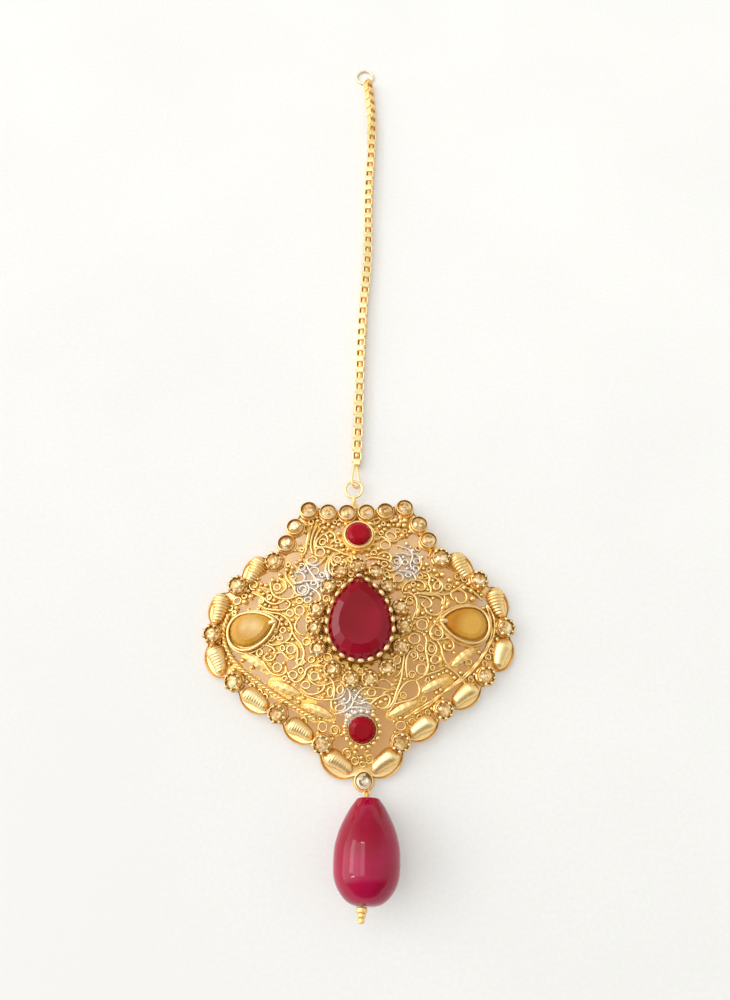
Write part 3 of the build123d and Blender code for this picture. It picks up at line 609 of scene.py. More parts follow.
class Work:
    """Collects the parts of one joined mesh, in millimetres about the plate's middle."""

    def __init__(self):
        self.points = []
        self.faces = []
        self.total = 0

    def add(self, part, place=None):
        """Adds a part's points and faces, moved to a place where one is given."""
        points, faces = part
        if place is not None:
            points = put(points, place)
        self.points.append(points)
        self.faces += [tuple(i + self.total for i in face) for face in faces]
        self.total += len(points)

    def make(self, name, look, node="plate", sharp=60.0):
        """Makes the piece in a finish, hides the CAD node that it stands for, and hangs the piece
        on the root body.
        """
        mesh = bpy.data.meshes.new(name)
        points = (np.vstack(self.points) + PLATE_MIDDLE) * MM
        mesh.from_pydata(points.tolist(), [], self.faces)
        if mesh.validate():
            raise RuntimeError(f"{name} has faces that aren't sound")
        outward(mesh)
        mesh.polygons.foreach_set("use_smooth", [True] * len(mesh.polygons))
        mesh.set_sharp_from_angle(angle=math.radians(sharp))
        mesh.materials.append(finish(look))
        piece = bpy.data.objects.new(name, mesh)
        bpy.context.scene.collection.objects.link(piece)
        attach(piece, "root")
        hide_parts(node)
        return piece


def outward(mesh):
    """Turns every face of the mesh outwards."""
    work = bmesh.new()
    work.from_mesh(mesh)
    bmesh.ops.recalc_face_normals(work, faces=work.faces)
    work.to_mesh(mesh)
    work.free()


def pear_line(width, long, grow, spacing=0.2):
    """The outline of a pear that points along +X, grown outwards, in equal steps."""
    a = width / 2
    side = (a**2 + (long - a)**2) / (2 * a)
    back = -(long / 2 - a)
    reach = math.sqrt((side + grow)**2 - (side - a)**2)
    spread = math.atan2(reach, side - a)
    turns = np.linspace(spread, 0, 40)
    upper = np.column_stack([back + (side + grow) * np.sin(turns),
                             (side + grow) * np.cos(turns) - (side - a)])
    round_end = np.linspace(math.pi / 2, 3 * math.pi / 2, 60)[1:-1]
    end = np.column_stack([back + (a + grow) * np.cos(round_end), (a + grow) * np.sin(round_end)])
    lower = upper[::-1] * (1, -1)
    return even(np.vstack([upper, end, lower]), spacing)[:-1]


# ================================================================ materials

class Nodes:
    """Builds a node tree, one node at a time."""

    def __init__(self, tree):
        self.tree = tree

    def node(self, kind, inputs=(), output=0, **settings):
        """Adds a node and gives back one of its outputs."""
        made = self.tree.nodes.new(kind)
        for key, value in settings.items():
            setattr(made, key, value)
        for key, value in dict(inputs).items():
            self.feed(made.inputs[key], value)
        return made.outputs[output]

    def feed(self, socket, value):
        """Links or sets a socket."""
        if isinstance(value, bpy.types.NodeSocket):
            self.tree.links.new(value, socket)
        elif isinstance(value, (int, float)):
            socket.default_value = value
        else:
            socket.default_value = tuple(value)

    def math(self, operation, a, b=0.0, clamp=False):
        """One operation on two values."""
        return self.node("ShaderNodeMath", {0: a, 1: b}, operation=operation, use_clamp=clamp)

    def sum(self, a, b, clamp=False):
        """Two values added."""
        return self.math("ADD", a, b, clamp)

    def times(self, a, b):
        """Two values multiplied."""
        return self.math("MULTIPLY", a, b)

    def parts(self, vector, axes):
        """Some of a vector's X, Y and Z."""
        return [self.node("ShaderNodeSeparateXYZ", {0: vector}, axis) for axis in axes]

    def fit(self, value, low, high, to_low=0.0, to_high=1.0):
        """A value brought from one range to another, and kept in it."""
        inputs = {"Value": value, "From Min": low, "From Max": high, "To Min": to_low,
                  "To Max": to_high}
        return self.node("ShaderNodeMapRange", inputs)

    def mix(self, part, a, b):
        """Two colours mixed by a share."""
        made = self.tree.nodes.new("ShaderNodeMix")
        made.data_type = "RGBA"
        for index, value in ((0, part), (6, a), (7, b)):
            self.feed(made.inputs[index], value)
        return made.outputs[2]


class Recipe(Nodes):
    """One finish, built on a Principled shader."""

    def __init__(self, name):
        self.material = bpy.data.materials.new(name)
        self.material.use_nodes = True
        super().__init__(self.material.node_tree)
        self.shader = self.tree.nodes["Principled BSDF"]

    def shade(self, **values):
        """Sets the shader's own sockets."""
        for key, value in values.items():
            self.feed(self.shader.inputs[key.replace("_", " ")], value)

    def place(self, kind="Object"):
        """Where a point of the surface is."""
        return self.node("ShaderNodeTexCoord", output=kind)

    def noise(self, scale, detail=3.0, rough=0.5):
        """Cloudy noise, with its scale in turns to the millimetre."""
        inputs = {"Vector": self.place(), "Scale": scale / MM, "Detail": detail,
                  "Roughness": rough}
        return self.node("ShaderNodeTexNoise", inputs)

    def distance(self, x, y, z):
        """How far a point of the surface is from this one, in millimetres about the plate."""
        spot = (np.array((x, y, z)) + PLATE_MIDDLE) * MM
        far = self.node("ShaderNodeVectorMath", {0: self.place(), 1: tuple(spot)}, "Value",
                        operation="DISTANCE")
        return self.math("DIVIDE", far, MM)

    def bump(self, height, strength, depth):
        """Relief of a depth in millimetres."""
        inputs = {"Height": height, "Strength": strength, "Distance": depth * MM}
        self.shade(Normal=self.node("ShaderNodeBump", inputs))


def gilding(name, on_dome=True, worn=True, bright=0.0, hammered=False):
    """Cast and gilt metal: redder low down, partly deeper gilding and partly painted shade, with
    painted shade on steep faces, rubbed through in places.
    """
    look = bpy.context.scene.tikka_metal
    recipe = Recipe(name)
    facing = recipe.node("ShaderNodeNewGeometry", output="Normal")
    clouds = recipe.noise(0.35, 4.0, 0.6)
    specks = recipe.noise(2.6, 3.0, 0.6)
    # Painted shade, partly the deeper gilding of the hollows: places low over the dome's back take
    # more of the deep gold, or, off the dome, faces that look less upwards.
    if on_dome:
        height = recipe.math("SUBTRACT", recipe.distance(0, 0, -DOME_DROP), DOME_RADIUS)
        raised = recipe.fit(height, 0.3, 1.2)
    else:
        raised = recipe.fit(*recipe.parts(facing, "Z"), 0.1, 0.75)
    raised = recipe.sum(raised, recipe.fit(specks, 0.3, 0.7, -0.22, 0.22), clamp=True)
    lemon = recipe.fit(clouds, 0.38, 0.6, bright, 0.35 + bright)
    high = recipe.mix(lemon, look.gold, tone(255, 230, 180))
    paint = recipe.mix(raised, look.deep_gold, high)
    # Painted shade: the further a face turns from that fixed side, the more of a darker gold it
    # takes.
    unshaded = recipe.node("ShaderNodeVectorMath", {0: facing, 1: UNSHADED_SIDE}, "Value",
                         operation="DOT_PRODUCT")
    paint = recipe.mix(recipe.fit(unshaded, 0.7, 0.15, 0.0, 0.72), paint, tone(222, 170, 58))
    rough = recipe.fit(specks, 0.3, 0.75, look.roughness - 0.08, look.roughness + 0.12)
    if worn:
        bare = None
        for x, y, reach in WORN_PATCHES:
            ragged = recipe.fit(clouds, 0.3, 0.7, -1.3, 1.3)
            far = recipe.sum(recipe.distance(x, y, 4.0), ragged)
            patch = recipe.fit(far, reach + 0.4, reach - 0.5)
            bare = patch if bare is None else recipe.math("MAXIMUM", bare, patch)
        bare = recipe.times(bare, recipe.fit(specks, 0.32, 0.46))
        paint = recipe.mix(bare, paint, look.worn)
        rough = recipe.sum(rough, recipe.times(bare, 0.15))
    recipe.shade(Base_Color=paint, Metallic=0.85, Roughness=rough)
    scale, strength, depth = (1.8, 1.0, 0.14) if hammered else (5.0, 0.35, 0.05)
    recipe.bump(recipe.noise(scale, 4.0, 0.65), strength, depth)
    return recipe.material


def link_gold(name, rubbed=False):
    """Gilding with painted light: pale where a link faces up, and a painted shade of deeper gold
    on its sides.
    """
    recipe = Recipe(name)
    facing = recipe.node("ShaderNodeNewGeometry", output="Normal")
    # Painted light: faces that look up take the pale tones, the sides a painted shade.
    up = recipe.fit(*recipe.parts(facing, "Z"), 0.3, 0.9)
    specks = recipe.noise(2.6, 3.0, 0.6)
    up = recipe.sum(up, recipe.fit(specks, 0.3, 0.7, -0.15, 0.15), clamp=True)
    if rubbed:
        paint = recipe.mix(up, tone(226, 206, 156), tone(252, 238, 200))
    else:
        from_chain = recipe.fit(recipe.distance(1.5, 55.0, 1.0), 40.0, 58.0)
        pale = recipe.mix(from_chain, tone(255, 240, 180), tone(255, 218, 144))
        paint = recipe.mix(up, tone(246, 200, 112), pale)
    rough = recipe.fit(specks, 0.3, 0.75, 0.2, 0.4)
    recipe.shade(Base_Color=paint, Metallic=0.45, Roughness=rough)
    recipe.bump(recipe.noise(5.0, 4.0, 0.65), 0.3, 0.05)
    return recipe.material


def bead_gold():
    """Softly shining peach gilding of the beads that hold the middle stone, painted paler than the
    rest as a lit copy of the gold.
    """
    recipe = Recipe("gilt_beads")
    specks = recipe.noise(2.6, 3.0, 0.6)
    paint = recipe.mix(recipe.fit(specks, 0.3, 0.7), tone(252, 204, 134), tone(255, 234, 190))
    rough = recipe.fit(specks, 0.3, 0.7, 0.28, 0.42)
    recipe.shade(Base_Color=paint, Metallic=0.5, Roughness=rough)
    recipe.bump(recipe.noise(4.0, 3.0), 0.3, 0.05)
    return recipe.material


def recess_shade_gold():
    """Gilding of the wall behind those beads, painted dark brown as shade."""
    recipe = Recipe("gilt_recess_shade")
    clouds = recipe.noise(0.8, 4.0, 0.6)
    paint = recipe.mix(recipe.fit(clouds, 0.35, 0.65), tone(142, 86, 24), tone(206, 150, 70))
    rough = recipe.fit(clouds, 0.3, 0.7, 0.35, 0.55)
    recipe.shade(Base_Color=paint, Metallic=1.0, Roughness=rough)
    recipe.bump(recipe.noise(3.0, 4.0, 0.65), 0.6, 0.08)
    return recipe.material


def foiled(name, tint, deep, pale, wedges):
    """A cut stone with a foiled back and painted reflections: each facet as bright as chance has
    it, brighter to the lower right, less so toward the edge.
    """
    recipe = Recipe(name)
    where = recipe.node("ShaderNodeVectorMath", {0: recipe.place("Generated"), 1: (0.5, 0.5, 0.5)},
                        operation="SUBTRACT")
    x, y = recipe.parts(where, "XY")
    own = recipe.node("ShaderNodeObjectInfo", output="Random")
    far = recipe.math("SQRT", recipe.sum(recipe.times(x, x), recipe.times(y, y)))
    ring = recipe.math("FLOOR", recipe.times(far, 6.5))
    angle = recipe.sum(recipe.math("ARCTAN2", y, x), recipe.times(own, TURN))
    angle = recipe.sum(recipe.math("DIVIDE", angle, TURN), recipe.times(ring, 0.5 / wedges))
    wedge = recipe.math("FLOOR", recipe.times(recipe.math("FRACT", angle), float(wedges)))
    place = {0: wedge, 1: ring, 2: recipe.times(own, 90.0)}
    facet = recipe.node("ShaderNodeCombineXYZ", place)
    # Painted reflections: each facet takes a chance brightness, and a painted light grows towards
    # the lower right.
    lit = recipe.node("ShaderNodeTexWhiteNoise", {"Vector": facet}, "Value", noise_dimensions="3D")
    across = recipe.math("SUBTRACT", recipe.times(x, 0.6), recipe.times(y, 1.3))
    cut = recipe.sum(recipe.fit(lit, 0.0, 1.0, -0.62, 0.62), across)
    cut = recipe.sum(cut, recipe.fit(recipe.noise(0.9, 2.0), 0.35, 0.6, -0.2, 0.2))
    cut = recipe.fit(cut, -0.75, 0.75)
    # Less of that painted light toward the stone's edge; the pale tone is the painted highlight.
    edge = recipe.fit(far, 0.4, 0.52)
    cut = recipe.math("SUBTRACT", cut, recipe.times(edge, 0.3), clamp=True)
    paint = recipe.mix(recipe.fit(cut, 0.0, 0.6), deep, tint)
    paint = recipe.mix(recipe.fit(cut, 0.6, 0.95), paint, pale)
    recipe.shade(Base_Color=paint, Metallic=0.25, Roughness=0.16, Specular_IOR_Level=0.5,
                 Coat_Weight=0.4, Coat_Roughness=0.05)
    return recipe.material


def red_glass(name, tint, deep, shine):
    """Pressed red glass over foil, paler where its flats catch the light."""
    recipe = Recipe(name)
    clouds = recipe.noise(0.16, 2.0)
    paint = recipe.mix(recipe.fit(clouds, 0.38, 0.62), deep, tint)
    recipe.shade(Base_Color=paint, Roughness=0.06, Specular_IOR_Level=shine)
    recipe.bump(recipe.noise(0.5, 2.0), 0.06, 0.03)
    return recipe.material


def amber_glass(look):
    """Amber glass: orange depths, a pale painted sheen in the left stone, the right one darker
    away from a spot in it, and olive shadows.
    """
    recipe = Recipe("amber_glass")
    clouds = recipe.noise(0.3, 3.0, 0.6)
    paint = recipe.mix(recipe.fit(clouds, 0.42, 0.6), tone(206, 148, 52), look.amber)
    right = centre_of("right_amber_stone") - PLATE_MIDDLE
    # The right stone: lighter near a spot, darker away from it.
    near = recipe.distance(right[0] + 1.2, right[1] - 0.4, right[2])
    right_stone_tones = recipe.mix(recipe.fit(near, 1.6, 3.2), tone(212, 164, 68), tone(184, 120, 28))
    paint = recipe.mix(recipe.fit(near, 6.0, 5.0), paint, right_stone_tones)
    middle = centre_of("left_amber_stone") - PLATE_MIDDLE
    # Painted sheen: a pale patch in the left stone.
    sheen_spot = recipe.sum(recipe.distance(middle[0] + 0.2, middle[1] + 0.3, middle[2]),
                       recipe.fit(clouds, 0.3, 0.7, -0.8, 0.8))
    paint = recipe.mix(recipe.fit(sheen_spot, 2.4, 0.7, 0.0, 0.8), paint, tone(230, 208, 146))
    olive = recipe.fit(recipe.noise(0.22, 2.0), 0.52, 0.66, 0.0, 0.4)
    paint = recipe.mix(olive, paint, tone(186, 132, 32))
    recipe.shade(Base_Color=paint, Roughness=0.2, Specular_IOR_Level=0.3)
    recipe.bump(recipe.noise(1.2, 3.0), 0.12, 0.03)
    return recipe.material


def bead_gloss(look):
    """Dyed stone under a high polish, with soft cloudy depths."""
    recipe = Recipe("bead_gloss")
    clouds = recipe.noise(0.13, 3.0, 0.55)
    paint = recipe.mix(recipe.fit(clouds, 0.38, 0.62), tone(146, 0, 40), look.drop)
    flecks = recipe.fit(recipe.noise(0.9, 4.0), 0.5, 0.8, 0.0, 0.15)
    paint = recipe.mix(flecks, paint, tone(184, 30, 84))
    recipe.shade(Base_Color=paint, Roughness=0.07, Specular_IOR_Level=0.42)
    recipe.bump(recipe.noise(1.5, 2.0), 0.02, 0.02)
    return recipe.material


def cloth(look):
    """Plain white cloth with a fine close weave; painted darker towards the bottom and left, with
    painted crease shade and a painted warm glow of bounced light under the plate.
    """
    recipe = Recipe("floor_cloth")
    base = tuple(look.floor)
    dim = tuple(value * 0.91 for value in base[:3]) + (1.0,)
    x, y = recipe.parts(recipe.place(), "XY")
    # Painted light falloff: the cloth is darker towards the bottom and towards the left.
    near = recipe.sum(recipe.fit(y, 0.03, -0.09, 0.3, 0.8),
                      recipe.fit(x, 0.04, -0.045, 0.0, 0.36))
    # Painted shade of faint creases in the cloth, in broad and in fine bands.
    crease_shade = recipe.sum(recipe.fit(recipe.noise(0.03, 3.0), 0.3, 0.7, -0.16, 0.16),
                       recipe.fit(recipe.noise(1.7, 2.0), 0.3, 0.7, -0.2, 0.2))
    near = recipe.sum(near, crease_shade, clamp=True)
    paint = recipe.mix(near, base, dim)
    spread = 0.0
    # Painted bounce light and shade under the openwork: the cloth takes the glow colours there,
    # warm at the upper left and deeper towards the lower right.
    for value, middle, half in zip((x, y), PLATE_MIDDLE + GLOW_MIDDLE, GLOW_HALF):
        part = recipe.math("DIVIDE", recipe.math("SUBTRACT", value, middle * MM), half * MM)
        spread = recipe.sum(recipe.math("POWER", recipe.math("ABSOLUTE", part), 1.5), spread)
    under = recipe.fit(spread, 1.02, 0.86)
    corner = PLATE_MIDDLE[0] - PLATE_MIDDLE[1]
    aside = recipe.fit(recipe.math("SUBTRACT", x, y), (corner - 12) * MM, (corner + 14) * MM)
    warm = recipe.mix(aside, look.glow, look.far_glow)
    recipe.shade(Base_Color=recipe.mix(under, paint, warm), Roughness=0.95, Specular_IOR_Level=0.1)
    recipe.bump(recipe.noise(1.4, 3.0), 0.25, 0.05)
    # Under the openwork the painted glow is stronger.
    strength = recipe.fit(under, 0.0, 1.0, 1.0, UNDER_GLOW)
    glow = recipe.node("ShaderNodeEmission", {"Color": recipe.mix(under, paint, warm),
                                              "Strength": strength})
    rays = [recipe.node("ShaderNodeLightPath", output=f"Is {ray} Ray")
            for ray in ("Camera", "Glossy", "Transmission")]
    seen = recipe.sum(recipe.sum(rays[0], rays[1]), rays[2], clamp=True)
    seen = recipe.times(seen, FLOOR_GLOW)
    both = recipe.node("ShaderNodeMixShader", {0: seen, 1: recipe.shader.outputs[0], 2: glow})
    recipe.tree.links.new(both, recipe.tree.nodes["Material Output"].inputs["Surface"])
    return recipe.material


FINISHES = {
    "openwork": lambda scene: gilding("gilt_openwork"),
    "border": lambda scene: gilding("gilt_border", on_dome=False, worn=False, bright=0.2),
    "core": lambda scene: gilding("gilt_core", on_dome=False, worn=False),
    "ground": lambda scene: gilding("gilt_ground", hammered=True),
    "links": lambda scene: link_gold("gilt_links"),
    "ring": lambda scene: link_gold("gilt_ring", rubbed=True),
    "beads": lambda scene: bead_gold(),
    "recess": lambda scene: recess_shade_gold(),
    "champagne": lambda scene: foiled("champagne_glass", scene.tikka_stones.champagne,
                                      tone(156, 102, 36), tone(250, 236, 192), 7),
    "smoky": lambda scene: foiled("smoky_glass", tone(226, 214, 182), tone(112, 84, 40),
                                  tone(255, 252, 240), 6),
    "red": lambda scene: red_glass("red_glass", scene.tikka_stones.red, tone(128, 0, 16), 0.3),
    "small_red": lambda scene: red_glass("small_red_glass", tone(160, 14, 30), tone(142, 0, 18),
                                         0.14),
    "amber": lambda scene: amber_glass(scene.tikka_stones),
    "bead": lambda scene: bead_gloss(scene.tikka_stones),
}
MADE = {}


def finish(name):
    """Each finish once, made when it is first asked for."""
    if name not in MADE:
        MADE[name] = FINISHES[name](bpy.context.scene)
    return MADE[name]


# ================================================================ border

def spine():
    """The closed line through the middles of the border's cups, in equal steps."""
    right = list(BORDER_CUPS)
    left = [(-x, y) for x, y in reversed(BORDER_CUPS)]
    points = [*right, PLATE_TIP, *left]
    line = through(points, 0.3, closed=True)
    line = even(np.vstack([line, line[:1]]), 0.25)[:-1]
    ahead = unit(np.roll(line, -3, 0) - np.roll(line, 3, 0))
    return line, np.column_stack([-ahead[:, 1], ahead[:, 0]])


def scallops():
    """The ellipses whose union gives the border's outer edge: middle, half axes, turn."""
    radius = BORDER_STONE + WALL
    found = [(x, y, radius, radius, 0.0) for x, y in both_sides(BORDER_CUPS)]
    for x, y, turn, size, fat, _, flange, *_ in both_sides(SHELLS):
        found.append((x, y, size / 2 + 0.6 * flange, fat + flange, mirrored_turn(x, turn)))
    return found


def outer_reach(line, out):
    """How far the edge lies from the spine, straight out from each of its points."""
    reach = np.full(len(line), 0.6)
    for x, y, a, b, turn in scallops():
        angle = math.radians(turn)
        axes = np.array(((math.cos(angle), math.sin(angle)), (-math.sin(angle), math.cos(angle))))
        start = (line - (x, y)) @ axes.T / (a, b)
        step = out @ axes.T / (a, b)
        square = (step**2).sum(1)
        along = -(start * step).sum(1) / square
        inside = along**2 - ((start**2).sum(1) - 1) / square
        hit = along + np.sqrt(np.maximum(inside, 0))
        good = (inside > 0) & (hit < 4.6)
        reach = np.where(good, np.maximum(reach, hit), reach)
    for _ in range(2):
        reach = (np.roll(reach, 1) + 2 * reach + np.roll(reach, -1)) / 4
    return reach


BAND_SECTION = (
    # share of the way out, height over the back
    (0.0, 0.12), (0.0, 0.36), (0.05, 0.5), (0.4, 0.5), (0.7, 0.55), (0.84, 0.6),
    (0.9, 0.8), (0.95, 0.92), (0.985, 0.8), (1.0, 0.5), (0.99, 0.18), (0.5, 0.06),
)
BAND_INSIDE = 0.75


def band_point(line, out, reach, part, height):
    """Points of the border at a share of the way from its inner to its outer edge."""
    offset = -BAND_INSIDE + part * (reach + BAND_INSIDE)
    return lift(line + out * offset[:, None], height)


class TIKKA_OT_border(bpy.types.Operator):
    """Makes the scalloped band that the cups and shells stand on"""
    bl_idname = "tikka.border"
    bl_label = "Border band"

    def execute(self, context):
        line, out = spine()
        if out[0] @ line[0] < 0:
            out = -out
        reach = outer_reach(line, out)
        rows = np.stack([band_point(line, out, reach, *spot) for spot in BAND_SECTION], axis=1)
        work = Work()
        work.add(skin(rows, closed=True))
        work.make("border_band", "border", sharp=40.0)
        return {"FINISHED"}


def shell(size, fat, thin, ribs, depth, bend):
    """A ribbed shell lying along X, fat end at -X, its underside cut level."""
    low, high = -size / 2, size / 2
    x0, x1 = low + fat, high - thin
    steps = 6 * ribs
    rows = []
    for i in range(1, steps):
        part = 0.5 - 0.5 * math.cos(math.pi * i / steps)
        x = low + size * part
        if x < x0:
            radius = math.sqrt(max(fat**2 - (x - x0)**2, 0.0))
        elif x > x1:
            radius = math.sqrt(max(thin**2 - (x - x1)**2, 0.0))
        else:
            radius = fat + (thin - fat) * (x - x0) / (x1 - x0)
        wave = abs(math.sin(math.pi * ribs * (x - low) / size))
        radius *= 1 - depth + depth * wave
        y, z, along = circle(radius, 24).T
        y = y + bend * ((x / high)**2 - 0.4)
        rows.append(np.column_stack([along + x, y, np.maximum(z, SHELL_FLOOR)]))
    tips = ((low, bend * 0.6, -0.05), (high, bend * 0.6, -0.05))
    return skin(rows, tips=tips)


class TIKKA_OT_shells(bpy.types.Operator):
    """Makes the ribbed shells of the border"""
    bl_idname = "tikka.shells"
    bl_label = "Shells"

    def execute(self, context):
        work = Work()
        for x, y, turn, size, fat, thin, _, ribs, right, left in both_sides(SHELLS):
            bend, depth = (SHELL_BEND, right) if x > 0 else (-SHELL_BEND, left)
            place = seat(x, y, SHELL_HEIGHT, mirrored_turn(x, turn))
            work.add(shell(size, fat, thin, ribs, depth, bend), place)
        work.make("border_shells", "border", sharp=75.0)
        return {"FINISHED"}


def leaf():
    """A veined leaf along X with a sharp ridge."""
    rows = []
    steps = 30
    for i in range(1, steps):
        u = i / steps
        half = LEAF_WIDTH / 2 * math.sin(math.pi * u**0.9)**0.8
        ridge = 0.7 * math.sin(math.pi * u)**0.6
        vein = 0.07 * math.sin(TURN * 5 * u)
        x = LEAF_LENGTH * (u - 0.5)
        section = (
            (-1, -0.4), (-1, 0.15), (-0.85, 0.5 * ridge + 0.1), (-0.45, 0.8 * ridge + vein),
            (-0.06, ridge), (0.06, ridge), (0.45, 0.8 * ridge - vein), (0.85, 0.5 * ridge + 0.1),
            (1, 0.15), (1, -0.4),
        )
        rows.append([(x, half * aside, height) for aside, height in section])
    return skin(rows, tips=((-LEAF_LENGTH / 2, 0, 0), (LEAF_LENGTH / 2, 0, 0)))


class TIKKA_OT_leaves(bpy.types.Operator):
    """Makes the pointed leaves along the lower edge"""
    bl_idname = "tikka.leaves"
    bl_label = "Leaves"

    def execute(self, context):
        work = Work()
        for x, y, turn in both_sides(LEAVES):
            work.add(leaf(), seat(x, y, LEAF_HEIGHT, mirrored_turn(x, turn)))
        work.make("border_leaves", "links", sharp=35.0)
        return {"FINISHED"}


def rope(work, path, radius, pitch):
    """Twisted wire along a path, strand by strand."""
    path = even(path, pitch / 9)
    ahead = unit(np.gradient(path, axis=0))
    side = unit(np.cross(ahead, (0, 0, 1)))
    top = np.cross(side, ahead)
    run = np.concatenate([[0.0], np.cumsum(np.linalg.norm(np.diff(path, axis=0), axis=1))])
    for start in (0.0, 0.5):
        angle = (TURN * (run / pitch + start))[:, None]
        strand = path + 0.8 * radius * (np.cos(angle) * side + np.sin(angle) * top)
        work.add(tube(strand, radius, 7))


LEFT_ROPE = (
    (-20.6, 1.6), (-21.3, -1.0), (-20.9, -3.2), (-19.8, -5.2), (-18.0, -7.2), (-15.8, -8.9),
    (-13.4, -10.6), (-10.9, -12.2), (-8.6, -13.6), (-6.9, -14.6),
)
RIGHT_STRANDS = (
    ((20.4, 2.2), (21.3, 0.3), (21.2, -2.2), (20.1, -4.4), (18.4, -6.8), (16.4, -8.8),
     (14.0, -10.4), (11.4, -12.0), (8.8, -13.5), (6.6, -14.8)),
    ((20.3, 2.0), (20.8, -0.4), (20.7, -2.6), (19.4, -5.1), (17.7, -7.2), (15.6, -9.0),
     (13.0, -10.9), (10.7, -12.8), (8.2, -14.2)),
)


class TIKKA_OT_ropes(bpy.types.Operator):
    """Lays the wires inside the lower border: twisted on the left, two plain ones on the right"""
    bl_idname = "tikka.ropes"
    bl_label = "Border wires"

    def execute(self, context):
        sizes = context.scene.tikka_wires
        work = Work()
        line = through(LEFT_ROPE, 0.25)
        rope(work, lift(line, ROPE_HEIGHT), sizes.rope / MM, sizes.rope_pitch / MM)
        for number, points in enumerate(RIGHT_STRANDS):
            line = through(points, 0.3)
            swell = 0.2 + 0.05 * np.sin(np.arange(len(line)) * 0.9 + number)
            work.add(tube(lift(line, STRAND_HEIGHTS[number]), swell, 8, 1.3))
        work.make("border_ropes", "openwork")
        return {"FINISHED"}


# ================================================================ cups and bezels

def cup(radius, height, thick):
    """An open cup round a stone, its edge just over the girdle and a ring about its foot."""
    rim = radius + thick
    bore = radius + 0.06
    return turned([
        (0, -height), (rim * 0.85, -height), (rim + 0.02, -1.5), (rim + 0.16, -1.36),
        (rim + 0.2, -1.18), (rim + 0.14, -1.0), (rim, -0.9), (rim - 0.02, -0.36),
        (rim - 0.06, -0.16), (bore + 0.02, -0.12), (bore, -0.2), (bore, -0.5),
        (bore * 0.6, -0.95), (0, -1.3),
    ], 28)


def claws(work, place, radius, count, wire, start):
    """Claws round a cup, each bent in over the stone's edge."""
    outline = ((radius + 0.34, -1.35), (radius + 0.27, -0.8), (radius + 0.25, -0.35),
               (radius + 0.14, 0.0), (radius - 0.02, 0.08))
    for k in range(count):
        angle = start + TURN * k / count
        heading = np.array((math.cos(angle), math.sin(angle)))
        path = [(*(heading * far), height) for far, height in outline]
        path = through(path, 0.25)
        thick = np.linspace(wire * 0.85, wire * 1.3, len(path))
        across = (-heading[1], heading[0], 0)
        work.add(tube(path, thick, 6, up=across), place)


class TIKKA_OT_cups(bpy.types.Operator):
    """Makes the cups of the small stones, open at the top of the border and clawed elsewhere"""
    bl_idname = "tikka.cups"
    bl_label = "Cups"

    def execute(self, context):
        wire = context.scene.tikka_wires.claw / MM
        for ring, (stone, count, look) in CUPS.items():
            work = Work()
            names = sorted(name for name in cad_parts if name.startswith(f"{ring}_stone"))
            for number, name in enumerate(names, 1):
                place = rim_place(name)
                plain = ring == "border" and number <= 2 * OPEN_CUPS
                work.add(cup(stone, CUP_HEIGHT - CUP_FOOT, WALL), place)
                if not plain:
                    claws(work, place, stone, count, wire, number)
            work.make(f"{ring}_cups", look, sharp=50.0)
        return {"FINISHED"}


def wall_along(work, outline, place, low, high, thick):
    """An upright wall of metal along a closed outline, rounded at its upper edge."""
    ahead = unit(np.roll(outline, -1, 0) - np.roll(outline, 1, 0))
    out = np.column_stack([ahead[:, 1], -ahead[:, 0]])
    if (out * outline).sum() < 0:
        out = -out
    section = ((0.0, low), (thick, low), (thick, high - 0.12), (thick * 0.8, high),
               (thick * 0.3, high), (0.0, high - 0.1))
    rows = [np.column_stack([outline + out * across, np.full(len(outline), height)])
            for across, height in section]
    work.add(skin(np.stack(rows, axis=1), closed=True), place)


def pear_place(node):
    """The rim's place of a pear stone, and its outline's width and length."""
    width, long, turn, rim = PEARS[node]
    return seat(*plan_of(node), rim, turn), width, long, rim


